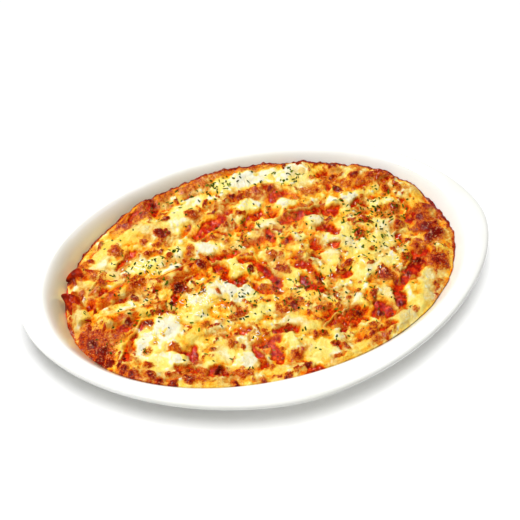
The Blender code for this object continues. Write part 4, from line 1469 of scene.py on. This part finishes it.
@dataclass
class Strewn:
    """Many small things joined in one mesh, lying on the food.

    Each drift of them has a middle, its half length and half width, and how many it holds.
    """

    top: BakedTop
    seed: int = 1
    uneven: float = 0.18
    curl: float = 0.25
    tip: float = 0.3
    sunk: float = 0.3
    slope_step: float = 0.8
    drift_spread: float = 0.6

    def drift_place(self, dice: np.random.Generator, drift: tuple) -> tuple:
        """A random place in a drift, most likely near its middle."""
        px, py, wide, deep, _ = drift
        return (px + wide * dice.normal() * self.drift_spread, py + deep * dice.normal() * self.drift_spread)

    def scatter(self, model: bpy.types.Object, spots: list) -> bpy.types.Object:
        """Copy a modelled thing to each spot, bending and turning each copy.

        Args:
            model: The thing, about 1 unit long, lying flat at the origin.
            spots: x, y, length, width and thickness of each copy, in millimetres.

        Returns:
            The joined mesh's object, which takes the model's place.
        """
        dice = np.random.default_rng(self.seed)
        shape = np.array([corner.co for corner in model.data.vertices])
        faces = [list(face.vertices) for face in model.data.polygons]
        x, y = np.array([spot[0] for spot in spots]), np.array([spot[1] for spot in spots])
        step = self.slope_step
        heights = []
        for east, north in ((0, 0), (step, 0), (0, step)):
            told = self.top.survey(x + east, y + north)
            heights.append(np.maximum(told.cheese_top, told.sauce_top))
        points, loops = [], []
        for (px, py, long, wide, thick), lift, east, north in zip(spots, *heights):
            slope = Vector((lift - east, lift - north, step)).normalized()
            turn = dice.uniform(0, 2 * math.pi)
            curl = dice.uniform(-self.curl, self.curl)
            copy = shape * (1 + self.uneven * dice.uniform(-1, 1, shape.shape))
            copy = copy * (long, wide, thick)
            copy[:, 2] += curl * (copy[:, 0] ** 2) / long
            leaning = Vector((0, 0, 1)).rotation_difference(slope).to_matrix()
            tipped = Euler((dice.uniform(-self.tip, self.tip), dice.uniform(-self.tip, self.tip), turn))
            copy = copy @ np.array(leaning @ tipped.to_matrix()).T + (px, py, lift + thick * self.sunk)
            loops += [[corner + len(points) * len(shape) for corner in face] for face in faces]
            points.append(copy)
        data = bpy.data.meshes.new(model.name)
        data.from_pydata(np.concatenate(points) * MM, [], loops)
        model.data = data
        return model


@dataclass
class Parsley(Strewn):
    """Chopped, dried parsley: thick drifts in some places and a few flakes in all."""

    seed: int = 21
    loose: int = 260
    room: tuple = (106, 70)
    thickness: float = 0.30
    drifts: tuple = (
        (68, 6, 18, 20, 105), (24, -20, 15, 14, 62), (-3, 64, 12, 7, 30), (-57, 18, 17, 10, 56),
        (-58, -6, 22, 10, 60), (12, 25, 32, 18, 80), (76, 24, 18, 11, 45), (-24, 62, 20, 8, 44),
        (-10, -20, 28, 15, 60), (43, 60, 16, 8, 36), (50, -30, 24, 15, 44),
    )

    def build(self, material: bpy.types.Material) -> bpy.types.Object:
        """Model one flake, then strew it."""
        start_fresh()
        bpy.ops.mesh.primitive_circle_add(vertices=7, radius=0.5, fill_type="NGON")
        flake = bpy.context.object
        edit(flake, "FACE")
        bpy.ops.mesh.select_all(action="SELECT")
        bpy.ops.mesh.inset(thickness=0.2, depth=0.12)
        bpy.ops.mesh.select_all(action="SELECT")
        bpy.ops.mesh.extrude_region_move(TRANSFORM_OT_translate={"value": (0, 0, -0.4)})
        seal(flake)
        dice = np.random.default_rng(self.seed)
        places = [self.drift_place(dice, drift) for drift in self.drifts for _ in range(drift[-1])]
        places += [(dice.uniform(-100, 105), dice.uniform(-68, 70)) for _ in range(self.loose)]
        spots = [(x, y, dice.uniform(1.3, 3.4), dice.uniform(0.6, 1.3), self.thickness)
                 for x, y in places if in_oval(x, y, *self.room)]
        return finish_piece(self.scatter(flake, spots), "parsley_flakes", material)


@dataclass
class Grated(Strewn):
    """Fine shreds of hard cheese, strewn last."""

    seed: int = 52
    thickness: float = 0.32
    drifts: tuple = (
        (-36, -12, 14, 8, 70), (-60, 21, 9, 6, 26), (-62, -24, 12, 9, 50), (-14, -42, 6, 5, 14),
        (20, -10, 34, 24, 40), (60, 0, 20, 18, 30),
    )

    def build(self, material: bpy.types.Material) -> bpy.types.Object:
        """Model one shred, then strew it."""
        start_fresh()
        bpy.ops.mesh.primitive_cylinder_add(vertices=6, radius=0.5, depth=1.0, rotation=(0, math.pi / 2, 0))
        shred = bpy.context.object
        bpy.ops.object.transform_apply(rotation=True)
        dice = np.random.default_rng(self.seed)
        spots = [(*self.drift_place(dice, drift), dice.uniform(0.9, 2.2), dice.uniform(0.35, 0.6),
                  self.thickness) for drift in self.drifts for _ in range(drift[-1])]
        return finish_piece(self.scatter(shred, spots), "grated_cheese", material)


@dataclass
class Mince(Strewn):
    """Crumbs of mince that stand out of the bare sauce."""

    seed: int = 33
    tries: int = 1100
    room: tuple = (107, 71)
    bare_below: float = 0.14

    def build(self, material: bpy.types.Material) -> bpy.types.Object:
        """Model one crumb, then strew it where no cheese lies."""
        start_fresh()
        bpy.ops.mesh.primitive_ico_sphere_add(subdivisions=2, radius=0.5)
        crumb = bpy.context.object
        dice = np.random.default_rng(self.seed)
        x, y = dice.uniform(-104, 108, self.tries), dice.uniform(-72, 72, self.tries)
        bare = (self.top.survey(x, y).cover < self.bare_below) & in_oval(x, y, *self.room)
        spots = [(px, py, *(dice.uniform(1.0, 2.6) * np.array([1.0, dice.uniform(0.6, 0.9), 0.5])))
                 for px, py in zip(x[bare], y[bare])]
        return finish_piece(self.scatter(crumb, spots), "mince_crumbs", material)


# ---------------------------------------------------------------- studio


class Lights(Enum):
    """Which pieces a lamp lights: only the named ones, or all the others."""

    ONLY = "INCLUDE"
    ALL_BUT = "EXCLUDE"


@dataclass(frozen=True)
class Lamp:
    """A square soft light that faces the dish: place and side in metres, power in watts."""

    name: str
    place: tuple
    side: float
    power: float


@dataclass
class Studio:
    """Plain white sweep, pale walls, soft lamps and the camera.

    The camera's turn and rise are in degrees, its distance and aim in metres and its lens in
    millimetres. The pale walls end between two shares of the way up to the zenith.
    """

    turn: float = -16.7
    rise: float = 52.0
    distance: float = 1.315
    aim: tuple = (0.0, 0.0, 0.0395)
    lens: float = 166.15
    shift: tuple = (0.0052, 0.0088)
    wall_strength: float = 0.28
    ceiling_strength: float = 0.10
    wall_top: tuple = (0.25, 0.55)
    sweep_side: float = 6.0
    key: Lamp = Lamp("key", (-0.42, 0.18, 1.25), 0.36, 18.9)
    glint: Lamp = Lamp("glint", (-0.30, 0.58, 1.20), 0.20, 3.6)
    fill: Lamp = Lamp("fill", (0.45, 0.25, 1.20), 0.50, 3.5)
    wash: Lamp = Lamp("wash", (-0.40, -1.20, 3.50), 1.25, 150.0)

    def floor(self, material: bpy.types.Material) -> bpy.types.Object:
        """Lay the sweep."""
        start_fresh()
        bpy.ops.mesh.primitive_plane_add(size=self.sweep_side)
        sweep = bpy.context.object
        sweep.name = "studio_floor"
        sweep.data.materials.append(material)
        return sweep

    def light(self, lamp: Lamp, reach: Lights, pieces: tuple) -> None:
        """Hang one lamp.

        Args:
            lamp: The lamp.
            reach: How the pieces below are meant.
            pieces: The pieces that it lights, or that it leaves out.
        """
        bulb = bpy.data.objects.new(lamp.name, bpy.data.lights.new(lamp.name, "AREA"))
        bpy.context.scene.collection.objects.link(bulb)
        bulb.data.shape = "SQUARE"
        bulb.data.size = lamp.side
        bulb.data.energy = lamp.power
        bulb.location = lamp.place
        facing = Vector(self.aim) - Vector(lamp.place)
        bulb.rotation_euler = facing.to_track_quat("-Z", "Y").to_euler()
        flagged = bpy.data.collections.new(lamp.name)
        for piece in pieces:
            flagged.objects.link(piece)
        for entry in flagged.collection_objects:
            entry.light_linking.link_state = reach.value
        bulb.light_linking.receiver_collection = flagged

    def camera(self) -> None:
        """Set up the camera."""
        turn, rise = math.radians(self.turn), math.radians(self.rise)
        away = Vector((math.sin(turn) * math.cos(rise), -math.cos(turn) * math.cos(rise), math.sin(rise)))
        camera = bpy.data.objects.new("camera", bpy.data.cameras.new("camera"))
        bpy.context.scene.collection.objects.link(camera)
        camera.location = Vector(self.aim) + away * self.distance
        camera.rotation_euler = (-away).to_track_quat("-Z", "Y").to_euler()
        camera.data.lens = self.lens
        camera.data.shift_x, camera.data.shift_y = self.shift
        bpy.context.scene.camera = camera

    def build(self, dish: bpy.types.Object) -> None:
        """Put up the whole studio round the dish.

        Args:
            dish: The glazed dish, which has a fill light of its own.
        """
        scene = bpy.context.scene
        scene.view_settings.view_transform = "Standard"
        scene.world = bpy.data.worlds.new("studio")
        scene.world.use_nodes = True
        tree = scene.world.node_tree
        backdrop = tree.nodes["Background"]
        upward = add_node(tree, "SeparateXYZ", inputs={0: add_node(tree, "TexCoord").outputs["Generated"]})
        bright = add_node(tree, "MapRange", {"interpolation_type": "SMOOTHSTEP"}, {
            "Value": upward.outputs["Z"], "From Min": self.wall_top[0], "From Max": self.wall_top[1],
            "To Min": self.wall_strength, "To Max": self.ceiling_strength})
        backdrop.inputs["Color"].default_value = (1.0, 1.0, 1.0, 1.0)
        tree.links.new(bright.outputs["Result"], backdrop.inputs["Strength"])
        sweep = self.floor(FLOOR.material())
        self.light(self.key, Lights.ALL_BUT, (sweep,))
        self.light(self.glint, Lights.ALL_BUT, (sweep, dish))
        self.light(self.fill, Lights.ONLY, (dish,))
        self.light(self.wash, Lights.ONLY, (sweep,))
        self.camera()


def main() -> None:
    """Build every piece, dress it and light it."""
    logging.basicConfig(level=logging.INFO, format="%(name)s %(message)s")
    dish = GratinDish()
    top = BakedTop(dish)
    glazed = dish.build(WhiteGlaze().material())
    SauceBed(top, dish).build(TOMATO_SAUCE.material())
    CheeseLayer(top, dish).build(MeltedCheese().material())
    pasta = {Bake.SAUCY: SAUCY_PASTA.material(), Bake.DARK: DARK_PASTA.material()}
    for spot in SHOWN_PENNE:
        PenneTube(spot).build(pasta[spot.bake])
    Parsley(top).build(PARSLEY.material())
    Mince(top).build(MINCE.material())
    Grated(top).build(GRATED.material())
    Studio().build(glazed)


if __name__ == "__main__":
    main()
